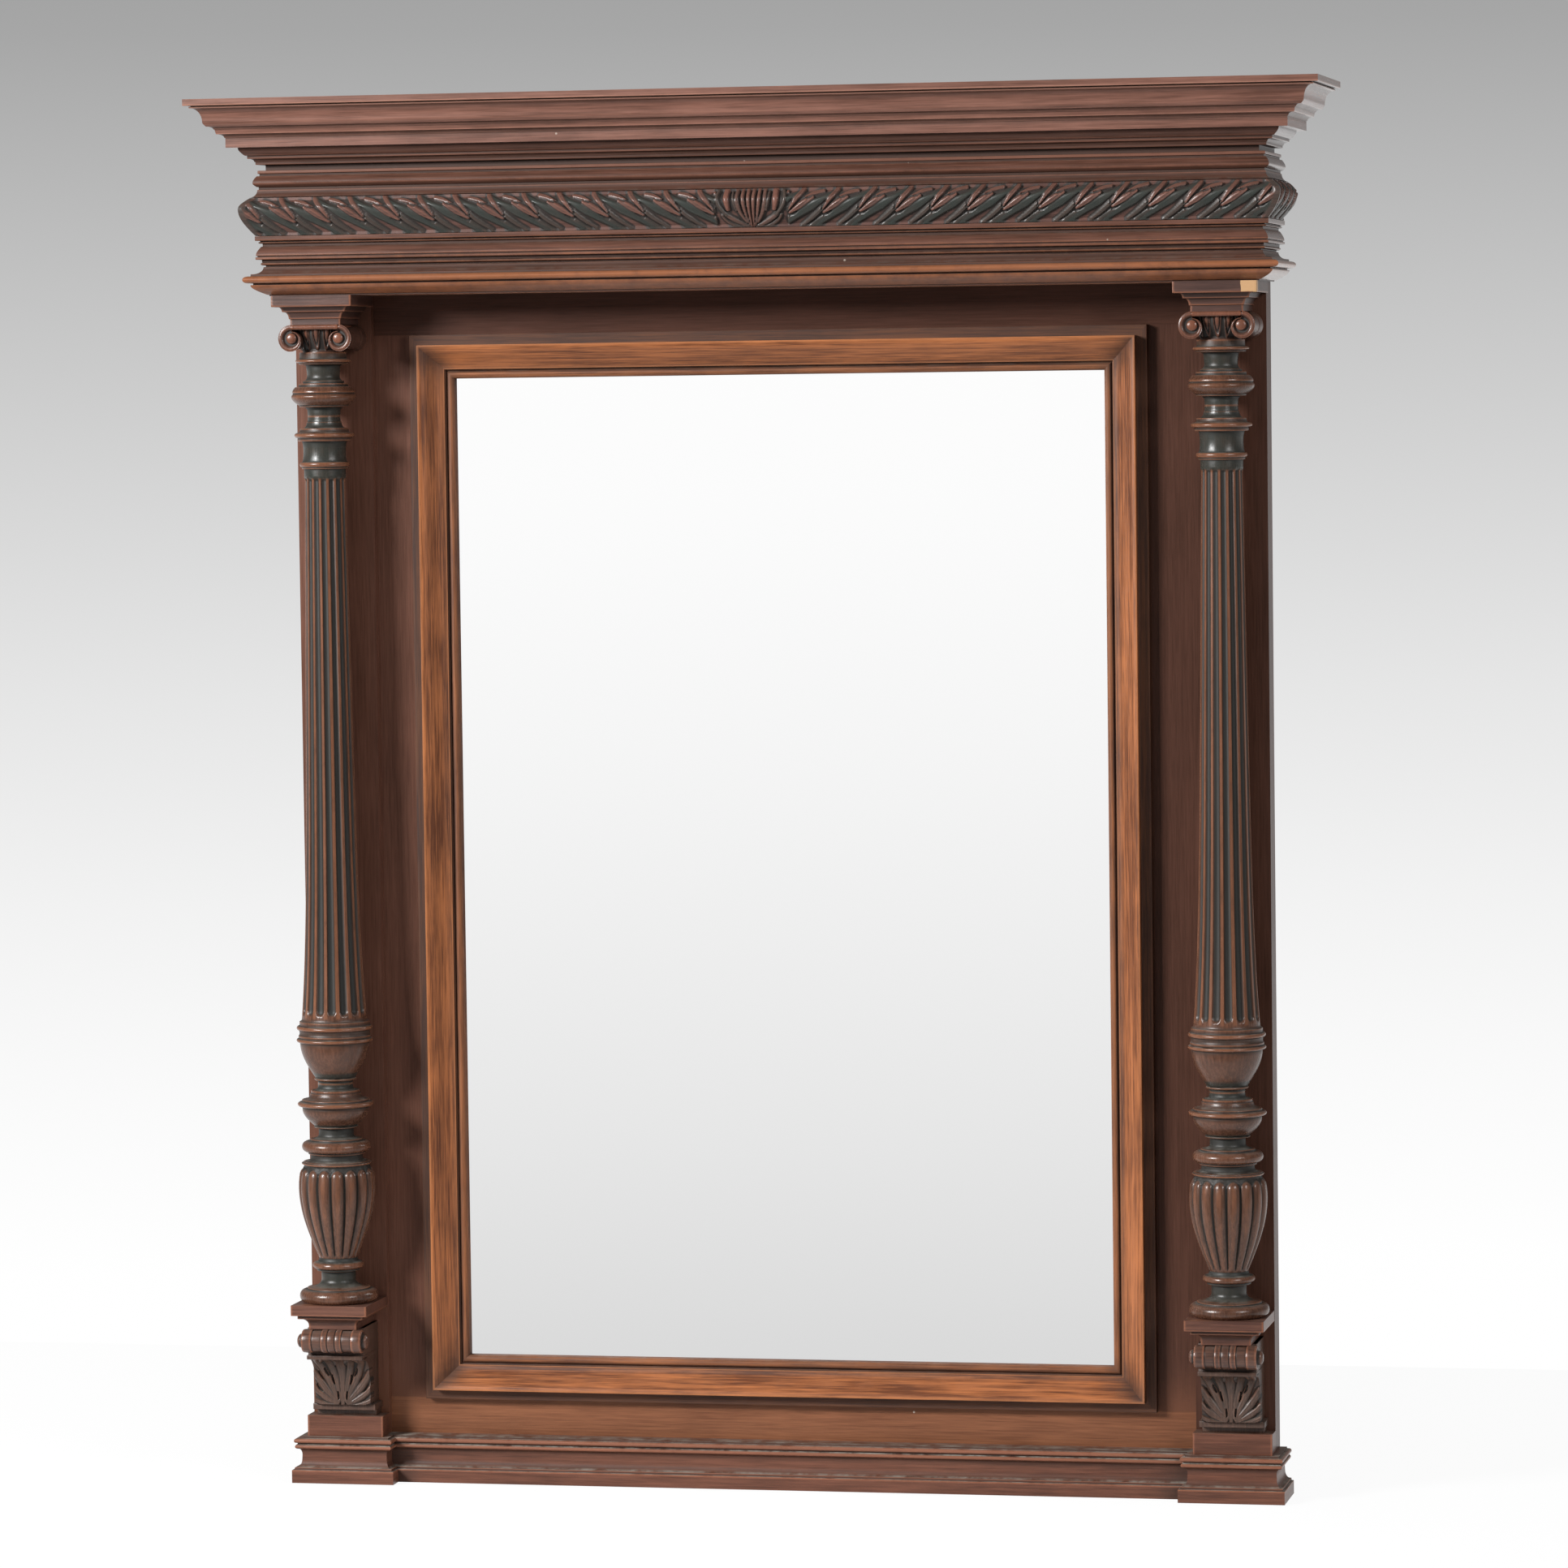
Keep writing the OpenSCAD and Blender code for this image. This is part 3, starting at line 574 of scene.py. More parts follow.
def profile_marks(points: Array, wear_reach: float = 3.0, view_reach: float = 9.0) -> Array:
    """Finds where an outline gets rubbed, and where its hollows take grime and painted shade.

    Args:
        points: places along the outline.
        wear_reach: how far round a point its sharpness is judged.
        view_reach: how far away a neighbour can still shade a point.

    Returns:
        Wear and grime of each point, from 0 to 1.
    """
    dense = eased(points, 0.0, 0.5)
    normals = outward(points)
    offset = dense[None, :, :] - points[:, None, :]
    apart = np.hypot(offset[..., 0], offset[..., 1])
    near = apart < wear_reach
    middle = (offset * near[..., None]).sum(1) / near.sum(1)[:, None]
    sharp = -(middle * normals).sum(1) / wear_reach
    # painted shade: how much of the view the neighbours hide marks a hollow dark, together with
    # grime
    rise = (offset * normals[:, None, :]).sum(2)
    run = offset[..., 0] * -normals[:, None, 1] + offset[..., 1] * normals[:, None, 0]
    seen = (apart > 0.6) & (apart < view_reach)
    slope = np.where(seen, np.arctan2(rise, np.abs(run)), 0.0)
    ahead = np.where(run > 0, slope, 0.0).max(1)
    behind = np.where(run < 0, slope, 0.0).max(1)
    return np.stack(
        [np.clip((sharp - 0.03) / 0.17, 0, 1), np.clip((ahead + behind) / 1.9, 0, 1)], axis=1
    )


@dataclass(frozen=True)
class Profile:
    """Outline of a moulding or a turning, as stretches from the bottom up.

    Each stretch has a form, a height and its lower and upper value: a radius on a turned piece,
    and a projection on a moulding.
    """

    stretches: tuple[tuple[Form, float, float, float], ...]
    ease: float = 0.8

    def points(self, level: float = 0.0) -> Array:
        """Samples the outline.

        Args:
            level: height of its foot.

        Returns:
            Its points as pairs of value and height.
        """
        listed: list[tuple[float, float]] = []
        for form, tall, low, high in self.stretches:
            count = 1 if form is FLAT else max(6, round(max(tall, abs(high - low)) / 1.6))
            for k in range(count + 1):
                t = k / count
                sine, cosine = math.sin(t * math.pi / 2), math.cos(t * math.pi / 2)
                if form is FLAT:
                    pair = low + (high - low) * t, t
                elif form is SWELL:
                    pair = low + (high - low) * sine, t
                elif form is CLOSE:
                    pair = high + (low - high) * cosine, t
                elif form is ROLL:
                    bulge = math.sin(t * math.pi)
                    pair = low + (high - low) * bulge, (1 - math.cos(t * math.pi)) / 2
                elif high > low:
                    pair = low + (high - low) * (1 - cosine), sine
                else:
                    pair = low + (high - low) * sine, 1 - cosine
                listed.append((pair[0], level + tall * pair[1]))
            level += tall
        return eased(np.array(listed), self.ease)

    def height(self) -> float:
        """Whole height."""
        return sum(stretch[1] for stretch in self.stretches)


# ---------------------------------------------------------------------- meshes


@dataclass
class Blank:
    """A bmesh in the making, with the marks that the finishes read."""

    bm: bmesh.types.BMesh = field(default_factory=bmesh.new)

    def __post_init__(self) -> None:
        """Adds the layers of the marks."""
        self.layers = [
            self.bm.verts.layers.float.new(name) for name in ("wear", "grime", "patina")
        ]

    def chain(self, points: Array, marks: Array, closed: bool) -> list[bmesh.types.BMVert]:
        """Adds a line of points and the edges between them.

        Args:
            points: place of each point.
            marks: its wear, and its grime with painted shade.
            closed: whether the last point joins the first.

        Returns:
            The new points.
        """
        made = []
        for place, mark in zip(points, marks):
            vertex = self.bm.verts.new(place)
            for layer, number in zip(self.layers, mark):
                vertex[layer] = number
            made.append(vertex)
        for first, second in zip(made, made[1:] + made[:1] if closed else made[1:]):
            self.bm.edges.new((first, second))
        return made

    def places(self) -> Array:
        """Places of all points."""
        return np.array([vertex.co for vertex in self.bm.verts])

    def marks(self) -> Array:
        """Wear, grime with painted shade, and patina of all points."""
        return np.array([[vertex[layer] for layer in self.layers] for vertex in self.bm.verts])

    def reshape(self, places: Array, marks: Array | None = None) -> None:
        """Moves the points and renews their marks.

        Args:
            places: new place of each point.
            marks: new wear, grime with painted shade, and patina of each point.
        """
        for vertex, place in zip(self.bm.verts, places):
            vertex.co = place
        if marks is not None:
            for vertex, mark in zip(self.bm.verts, np.clip(marks, 0, 1)):
                for layer, number in zip(self.layers, mark):
                    vertex[layer] = number

    def cap(self) -> None:
        """Closes the open ends."""
        rims = [edge for edge in self.bm.edges if edge.is_boundary or edge.is_wire]
        bmesh.ops.holes_fill(self.bm, edges=rims, sides=0)

    def piece(
        self,
        node: str,
        work: str,
        material: bpy.types.Material,
        slot: str = "walnut",
        crease: float = 38.0,
    ) -> None:
        """Turns the bmesh into the piece that stands for a CAD node.

        Args:
            node: the CAD node, which the piece is named after.
            work: how the piece is worked, which ends its name.
            material: its finish.
            slot: not used.
            crease: angle in degrees over which an edge stays sharp.
        """
        name = f"{node}_{work}"
        bmesh.ops.remove_doubles(self.bm, verts=self.bm.verts, dist=MERGE)
        bmesh.ops.recalc_face_normals(self.bm, faces=self.bm.faces)
        for face in self.bm.faces:
            face.smooth = True
        mesh = bpy.data.meshes.new(name)
        self.bm.to_mesh(mesh)
        self.bm.free()
        mesh.set_sharp_from_angle(angle=math.radians(crease))
        mesh.materials.append(material)
        made = bpy.data.objects.new(name, mesh)
        bpy.context.scene.collection.objects.link(made)
        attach(made, "root")
        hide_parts(node)
        LOG.info("%s: %d faces for %s", name, len(mesh.polygons), node)


def world_places(x: Array | float, q: Array | float, z: Array | float) -> Array:
    """Turns millimetres across, out from the wall and up into the frame's metres."""
    return np.stack([x * MM, WALL_Y - q * MM, z * MM], axis=-1)


def polar(places: Array) -> tuple[Array, Array]:
    """Radius and angle in degrees of places round Z."""
    return np.hypot(places[:, 0], places[:, 1]), np.degrees(np.arctan2(places[:, 1], places[:, 0]))


def sink(places: Array, radius: Array, depth: Array) -> None:
    """Moves places towards Z.

    Args:
        places: the places, which change.
        radius: their radius.
        depth: how far each moves.
    """
    places[:, :2] *= (1 - depth / np.maximum(radius, 1))[:, None]


Placing = Callable[[Array, Array, Array], Array]


def swept(
    points: Array,
    stations: Array,
    placing: Placing,
    back: float | None = None,
    marks: Array | None = None,
    ends: float = 0.0,
) -> Blank:
    """Sweeps a section into a closed bar.

    Args:
        points: the section, as projection and height.
        stations: shares along the bar, from 0 to 1, where it has a ring.
        placing: turns share, projection and height into places in metres.
        back: projection of the flat back, or None where the section is closed by itself.
        marks: wear, grime with painted shade, and patina along the section, or None for the usual
            ones.
        ends: how dirty the bar is at its mitres.

    Returns:
        The bar.
    """
    marks = profile_marks(points) if marks is None else marks
    if back is not None:
        points = np.vstack([[back, points[0, 1]], points, [back, points[-1, 1]]])
        marks = np.vstack([marks[:1] * 0, marks, marks[:1] * 0])
    blank = Blank()
    line = np.column_stack([np.zeros(len(points)), points])
    blank.chain(line, marks, True)
    bmesh.ops.spin(
        blank.bm, geom=blank.bm.verts[:] + blank.bm.edges[:], cent=(0, 0, 0), axis=(0, 0, 1),
        dvec=(1, 0, 0), angle=0, steps=len(stations) - 1,
    )
    blank.cap()
    found = blank.places()
    share = stations[np.rint(found[:, 0]).astype(int)]
    marks = blank.marks()
    marks[:, 1] = np.maximum(marks[:, 1], ends * np.exp(-np.minimum(share, 1 - share) / 0.035))
    blank.reshape(placing(share, found[:, 1], found[:, 2]), marks)
    return blank


def spun(points: Array, steps: int, sectors: int = 16) -> Blank:
    """Turns an outline of radius and height into a solid round Z, in millimetres.

    Args:
        points: the outline, from the bottom up.
        steps: steps of the whole turn.
        sectors: equal parts that the turn is made in.

    Returns:
        The solid.
    """
    blank = Blank()
    points = np.vstack([[0, points[0, 1]], points, [0, points[-1, 1]]])
    marks = profile_marks(points)
    line = np.column_stack([points[:, 0], np.zeros(len(points)), points[:, 1]])
    blank.chain(line, marks, False)
    turn = dict(cent=(0, 0, 0), axis=(0, 0, 1), dvec=(0, 0, 0))
    bmesh.ops.spin(
        blank.bm, geom=blank.bm.verts[:] + blank.bm.edges[:], angle=math.tau / sectors,
        steps=steps // sectors, **turn,
    )
    bmesh.ops.spin(
        blank.bm, geom=blank.bm.verts[:] + blank.bm.edges[:] + blank.bm.faces[:],
        angle=math.tau * (sectors - 1) / sectors, steps=sectors - 1, use_duplicate=True, **turn,
    )
    bmesh.ops.remove_doubles(blank.bm, verts=blank.bm.verts, dist=1e-3)
    return blank


def mitred_stations(count: int, guard: float = 0.0012) -> Array:
    """Even shares along a bar, with two rings close to each end."""
    middle = np.linspace(3 * guard, 1 - 3 * guard, count)
    return np.concatenate([[0, guard], middle, [1 - guard, 1]])


def softened(grid: Array, passes: int) -> Array:
    """Smooths a grid of numbers.

    Args:
        grid: the numbers.
        passes: how often neighbours are mixed.

    Returns:
        The smoothed grid.
    """
    for _ in range(passes):
        padded = np.pad(grid, 1, mode="edge")
        grid = (padded[:-2, 1:-1] + 2 * grid + padded[2:, 1:-1]) / 4
        padded = np.pad(grid, 1, mode="edge")
        grid = (padded[1:-1, :-2] + 2 * grid + padded[1:-1, 2:]) / 4
    return grid


def eased_step(number: Array, low: float, high: float) -> Array:
    """Rises smoothly from 0 at low to 1 at high."""
    t = np.clip((number - low) / (high - low), 0, 1)
    return t * t * (3 - 2 * t)


@dataclass(frozen=True)
class Gouge:
    """One cut of the carving: a tapered ridge, or a slit where its height is negative.

    line holds three points of a bent line, and widths its half widths at them.
    """

    line: tuple[tuple[float, float], tuple[float, float], tuple[float, float]]
    widths: tuple[float, float, float]
    height: float
    patina: float = 0.0
    vein: float = 0.0
    fullness: float = 0.6

    def lift(self, across: Array, up: Array) -> Array:
        """Height of the cut at each point.

        Args:
            across: distance across the carving.
            up: distance up it.

        Returns:
            Its height, 0 outside it.
        """
        t = np.linspace(0, 1, 13)
        (ax, ay), (bx, by), (cx, cy) = self.line
        bend_x, bend_y = 2 * bx - (ax + cx) / 2, 2 * by - (ay + cy) / 2
        xs = (1 - t) ** 2 * ax + 2 * t * (1 - t) * bend_x + t * t * cx
        ys = (1 - t) ** 2 * ay + 2 * t * (1 - t) * bend_y + t * t * cy
        best = np.full(across.shape, 1e9)
        share = np.zeros(across.shape)
        for k in range(len(t) - 1):
            dx, dy = xs[k + 1] - xs[k], ys[k + 1] - ys[k]
            s = ((across - xs[k]) * dx + (up - ys[k]) * dy) / (dx * dx + dy * dy)
            s = np.clip(s, 0, 1)
            apart = np.hypot(across - xs[k] - s * dx, up - ys[k] - s * dy)
            nearer = apart < best
            best = np.where(nearer, apart, best)
            share = np.where(nearer, t[k] + s * (t[k + 1] - t[k]), share)
        width = np.interp(share, (0, 0.5, 1), self.widths)
        body = np.clip(1 - (best / width) ** 2, 0, None) ** self.fullness
        groove = self.vein * np.exp(-((best / 0.9) ** 2)) * eased_step(width, 1.0, 2.5)
        return self.height * body - np.where(body > 0, groove, 0)


def carve(cuts: Sequence[Gouge], across: Array, up: Array) -> tuple[Array, Array]:
    """Lays cuts over each other.

    Args:
        cuts: the cuts.
        across: distance across the carving at each point.
        up: distance up it.

    Returns:
        Height and patina at each point.
    """
    height = np.zeros(across.shape)
    patina = np.zeros(across.shape)
    for cut in cuts:
        lift = cut.lift(across, up)
        if cut.height < 0:
            height = height + lift
        else:
            patina = np.where(lift > height, cut.patina, patina)
            height = np.maximum(height, lift)
    return height, patina


def carved_marks(height: Array, patina: Array, deepest: float) -> Array:
    """Marks of a carved grid.

    Args:
        height: height of the carving.
        patina: patina of the cut on top.
        deepest: full depth of the ground.

    Returns:
        Wear, grime with painted shade, and patina.
    """
    crest = height - softened(height, 12)
    wear = eased_step(crest, 0.15, 0.9) * (1 - patina * 0.7)
    # grime and painted shade: the carving's hollows and its deep ground are marked dark
    grime = eased_step(-crest, 0.1, 1.0) * 0.75 + eased_step(deepest - height, 0.5, 1.0) * 0.2
    return np.stack([wear, np.clip(grime, 0, 1), patina], axis=-1)


def carved_sheet(
    columns: int, rows: int, placing: Callable[[Array, Array], tuple[Array, Array]]
) -> Blank:
    """Makes a carved surface from a grid.

    Args:
        columns: number of steps across.
        rows: number of steps up.
        placing: turns the shares across and up into places and marks.

    Returns:
        The open surface.
    """
    blank = Blank()
    bmesh.ops.create_grid(blank.bm, x_segments=columns, y_segments=rows, size=0.5)
    found = blank.places() + 0.5
    column = np.rint(found[:, 0] * columns).astype(int)
    row = np.rint(found[:, 1] * rows).astype(int)
    share_up, share_across = np.meshgrid(
        np.linspace(0, 1, rows + 1), np.linspace(0, 1, columns + 1), indexing="ij"
    )
    places, marks = placing(share_across, share_up)
    blank.reshape(places[row, column], marks[row, column])
    return blank


def backed(
    blank: Blank, shift: tuple[float, float, float], core: tuple[float, float] | None = None
) -> None:
    """Gives an open surface a rim that reaches back, and closes it.

    Args:
        blank: the surface.
        shift: how far the rim reaches, in metres.
        core: half width and front of a box that the back lies flat on, or None for a back that
            follows the surface.
    """
    rim = [edge for edge in blank.bm.edges if edge.is_boundary]
    grown = bmesh.ops.extrude_edge_only(blank.bm, edges=rim)["geom"]
    new = [item for item in grown if isinstance(item, bmesh.types.BMVert)]
    bmesh.ops.translate(blank.bm, verts=new, vec=shift)
    if core:
        half, front = core
        for vertex in new:
            vertex.co.x = max(-half, min(half, vertex.co.x))
            vertex.co.y = max(front, vertex.co.y)
        bmesh.ops.remove_doubles(blank.bm, verts=new, dist=MERGE)
    blank.cap()


# --------------------------------------------------------------- sub-assemblies


COURSE_TONES: dict[str, dict[str, Colour]] = {
    "architrave": dict(
        light=(0.12, 0.052, 0.035), dark=(0.055, 0.023, 0.015), worn=(0.34, 0.12, 0.045)
    ),
    "bed_moulding": dict(
        light=(0.1, 0.043, 0.029), dark=(0.045, 0.019, 0.012), worn=(0.18, 0.075, 0.047)
    ),
    "crown_moulding": dict(
        light=(0.185, 0.085, 0.061), dark=(0.088, 0.039, 0.027), worn=(0.34, 0.17, 0.12)
    ),
}


def run_grain(part: str) -> Grain:
    """Grain of a run: the front's goes across, and a return's towards the wall."""
    return Grain.ACROSS if part == "front" else Grain.OUTWARDS


@dataclass
class Entablature:
    """Architrave, carved cushion, bed moulding and crown, each with two returns."""

    finishes: FinishBox
    half_w: float = 636.0
    face: float = 139.0
    low: float = 1549.5
    carving_depth: float = 4.6
    rim_depth: float = 1.0
    pitch: float = 46.0
    palmette_half_w: float = 46.0
    plain_end: float = 9.0
    rows: int = 56
    front_columns: int = 1200
    return_columns: int = 150
    front_rings: int = 60
    return_rings: int = 10
    seed: int = 7
    architrave: Profile = Profile(
        (
            (FLAT, 1.5, 5, 5), (SWELL, 12.5, 7, 24.5), (FLAT, 2.2, 21.5, 21.5), (ROLL, 9, 27, 33),
            (FLAT, 2.7, 24, 24), (COVE, 9.2, 22.5, 10.5), (FLAT, 2.2, 8, 8), (ROLL, 3.5, 11, 13.5),
            (FLAT, 3.7, 12, 12), (FLAT, 3.3, 18.7, 18.7), (FLAT, 1.5, 16.5, 16.5),
            (CLOSE, 12, 18.3, 12.5), (FLAT, 3.7, 11, 11), (ROLL, 2.5, 13, 15.5),
            (FLAT, 1.2, 13.5, 13.5), (FLAT, 5.8, 19, 19),
        )
    )
    back_gap: float = 0.3
    edge_wear: float = 0.45
    rubbed: tuple[tuple[float, float, float], ...] = ((1.5, 14.0, 0.62), (16.0, 25.4, 0.85))
    cushion: Profile = Profile(((SWELL, 34.5, 19, 37), (CLOSE, 15, 37, 24)))
    bed: Profile = Profile(
        (
            (COVE, 10, 24, 15.5), (FLAT, 3.5, 14, 14), (SWELL, 5, 16, 20.5), (CLOSE, 9, 20.5, 16),
            (FLAT, 3, 13, 13), (FLAT, 4, 15, 15), (FLAT, 7.5, 6.5, 6.5), (FLAT, 3.5, 17, 17),
            (COVE, 4, 18, 23.5), (FLAT, 4, 25.5, 25.5), (SWELL, 10, 28, 35),
        )
    )
    crown: Profile = Profile(
        (
            (FLAT, 12.5, 47.5, 47.5), (COVE, 4.5, 48.5, 55.5), (FLAT, 6, 57, 58.5),
            (COVE, 3.5, 59.5, 66), (SWELL, 6, 67, 71), (COVE, 17, 71, 82.5),
            (FLAT, 2, 84.5, 84.5), (FLAT, 1, 82.5, 82.5), (FLAT, 8.5, 91, 91),
        )
    )
    leaf: tuple[Gouge, ...] = (
        Gouge(((45, 48), (8.7, 24), (-30, 0)), (2.0, 6.6, 2.6), 3.2, 1.0, 0.3, 0.5),
        Gouge(((0, 48), (-8.0, 37), (-18.5, 22)), (3.6, 4.2, 1.6), 4.6, 0.3, 1.1),
        Gouge(((11.5, 36.5), (-3.5, 26), (-18.5, 16.5)), (4.0, 5.0, 1.6), 4.4, 0.2, 1.1),
        Gouge(((26, 46), (15, 43.5), (4, 38.5)), (2.4, 3.2, 1.5), 4.2, 0.3, 1.0),
        Gouge(((-20, 22), (-33, 10.5), (-48, 1)), (3.2, 3.0, 2.0), 3.6, 0.85, 0.6),
        Gouge(((-16, 13), (-27, 6), (-38, 0)), (2.4, 2.8, 2.0), 3.0, 0.85, 0.4),
        Gouge(((-9, 18), (-14, 15), (-19, 12.5)), (1.2, 1.6, 1.0), -2.5),
        Gouge(((12, 38.5), (9, 37), (5, 35.0)), (1.0, 1.5, 1.0), -2.0),
        Gouge(((-14.5, 32), (-18.5, 26), (-21, 20)), (1.0, 1.5, 1.0), -2.0),
    )
    palmette: tuple[Gouge, ...] = (
        Gouge(((3.6, 48), (3.0, 26), (1.2, 1)), (3.2, 2.8, 1.6), 4.6, 0.3, 0.5),
        Gouge(((10.6, 48), (9.4, 26), (3.6, 3)), (3.0, 2.9, 1.8), 4.2, 0.3, 0.5),
        Gouge(((17.6, 48), (17.0, 26), (7.0, 6)), (3.2, 3.4, 2.2), 4.4, 0.5, 0.8),
        Gouge(((23.5, 46), (22.5, 33), (19, 20)), (2.0, 2.4, 1.5), 3.8, 0.8),
        Gouge(((31.5, 47), (32, 35), (30, 22)), (4.6, 4.8, 3.0), 4.2, 0.0, 0.4),
        Gouge(((42, 48), (43, 31), (31.5, 14.5)), (3.0, 3.2, 2.4), 4.0, 0.85),
        Gouge(((33, 15), (21, 7), (6, 0.5)), (3.0, 3.4, 2.4), 3.8, 0.6, 0.5),
        Gouge(((38, 14), (30, 5), (16, 0)), (2.2, 2.8, 2.0), 3.0, 0.7),
    )

    def build(self) -> None:
        """Builds the four courses from the bottom up."""
        level = self.low
        for name, profile in (
            ("architrave", self.architrave),
            ("frieze_cushion", self.cushion),
            ("bed_moulding", self.bed),
            ("crown_moulding", self.crown),
        ):
            for part in ("front", "left", "right"):
                node = f"{name}_{part}"
                if profile is self.cushion:
                    self._carved_course(node, part, level)
                    continue
                placing = self._placing(part)
                count = self.front_rings if part == "front" else self.return_rings
                points = profile.points(level)
                marks = profile_marks(points)
                if profile is self.architrave:
                    marks[:, 0] *= self.edge_wear
                    for low, high, wear in self.rubbed:
                        inside = (points[:, 1] > level + low) & (points[:, 1] < level + high)
                        marks[:, 0] = np.where(inside, wear, marks[:, 0])
                bar = swept(points, mitred_stations(count), placing, 0.0, marks)
                bar.piece(node, "moulded", self._plain(name, part))
            level += profile.height()

    def _plain(self, course: str, part: str) -> bpy.types.Material:
        """Chooses the finish of a plain run.

        Args:
            course: name of its course.
            part: front, left or right.

        Returns:
            The material.
        """
        gloss = dict(specular=0.25) if part == "front" else dict(roughness=0.22, specular=0.75)
        grain = run_grain(part)
        name = f"{course}_{grain.name.lower()}"
        return self.finishes.get(
            Walnut(name, grain, **COURSE_TONES[course], **gloss, speck_share=0.4)
        )

    def _placing(self, part: str) -> Placing:
        """Gives the rule that places a run with its mitred ends.

        Args:
            part: front, left or right.

        Returns:
            A function of share, projection and height.
        """

        def front(share: Array, out: Array, up: Array) -> Array:
            """Places the front run between its two mitres."""
            return world_places((2 * share - 1) * (self.half_w + out), self.face + out, up)

        def back(share: Array, out: Array, up: Array) -> Array:
            """Places a return from the wall to its mitre."""
            side = Side[part.upper()].value
            return world_places(side * (self.half_w + out), share * (self.face + out), up)

        return front if part == "front" else back

    def _leafage(self, along: Array, up: Array) -> tuple[Array, Array]:
        """Repeats the leaf along the cushion, with a hand's small differences.

        Args:
            along: distance from the middle.
            up: height over the cushion's foot.

        Returns:
            Height and patina of the carving.
        """
        jitter = np.random.default_rng(self.seed).uniform(-1, 1, (64, 3))
        local = along - self.palmette_half_w
        unit = np.floor(local / self.pitch)
        height, patina = np.zeros(along.shape), np.zeros(along.shape)
        for shift in (-1, 0, 1, 2):
            which = (unit - shift).astype(int) + 8
            move = jitter[np.clip(which, 0, 63)]
            across = local - (unit - shift) * self.pitch + move[..., 0] * 1.1
            lift, tone = carve(self.leaf, across - self.pitch * 0.45, up + move[..., 1] * 0.8)
            lift = lift * (1 + 0.07 * move[..., 2])
            patina = np.where(lift > height, tone, patina)
            height = np.maximum(height, lift)
        return height, patina

    def _carved_course(self, node: str, part: str, level: float) -> None:
        """Builds one run of the carved cushion.

        Args:
            node: CAD node that it stands for.
            part: front, left or right.
            level: height of its foot.
        """
        outline = self.cushion.points(level)
        lengths = np.concatenate([[0], np.cumsum(np.hypot(*np.diff(outline, axis=0).T))])
        even = np.linspace(0, lengths[-1], self.rows + 1)
        outline = np.column_stack([np.interp(even, lengths, outline[:, k]) for k in (0, 1)])
        normals = outward(outline)
        columns = self.front_columns if part == "front" else self.return_columns
        run = self._placing(part)

        def placing(across: Array, up: Array) -> tuple[Array, Array]:
            """Places and marks the carved surface.

            Args:
                across: share of the run's width.
                up: share of the outline's length.

            Returns:
                Places in metres, and their wear, grime with painted shade, and patina.
            """
            row = np.rint(up * self.rows).astype(int)
            out, tall = outline[row, 0], outline[row, 1]
            if part == "front":
                along = np.abs(2 * across - 1) * (self.half_w + out)
                left = self.half_w + out - along
            else:
                along = (1 - across) * (self.face + out) + self.half_w
                left = along - self.half_w
            height, patina = self._leafage(along, tall - level)
            if part == "front":
                middle, tone = carve(self.palmette, along, tall - level)
                inside = along < self.palmette_half_w
                patina = np.where(inside, tone, patina)
                height = np.where(inside, middle, height)
            plain = 1 - eased_step(left, self.plain_end - 3, self.plain_end)
            height = height * (1 - plain) + self.carving_depth * 0.8 * plain
            patina = patina * (1 - plain) + 0.6 * plain
            rim = eased_step(np.minimum(up, 1 - up), 0.0, 0.05)
            depth = (self.carving_depth - height) * rim + self.rim_depth * (1 - rim)
            marks = carved_marks(height, patina, self.carving_depth)
            out, tall = out - depth * normals[row, 0], tall - depth * normals[row, 1] * 0.8
            return run(across, out, tall), marks

        sheet = carved_sheet(columns, self.rows, placing)
        corner = world_places(self.half_w + self.back_gap, self.face + self.back_gap, 0.0)
        backed(sheet, (0, 0, 0), (corner[0], corner[1]))
        grain = run_grain(part)
        finish = self.finishes.get(
            Walnut(
                f"carved_walnut_{grain.name.lower()}", grain, light=(0.12, 0.056, 0.043),
                dark=(0.05, 0.024, 0.019), worn=(0.17, 0.072, 0.05), hollow=(0.018, 0.015, 0.013),
                black=(0.027, 0.031, 0.027), wear_share=0.5, grime_share=0.95, dust_share=0.15,
                roughness=0.34, specular=0.33,
            )
        )
        sheet.piece(node, "carved", finish, "carved_walnut", 60.0)


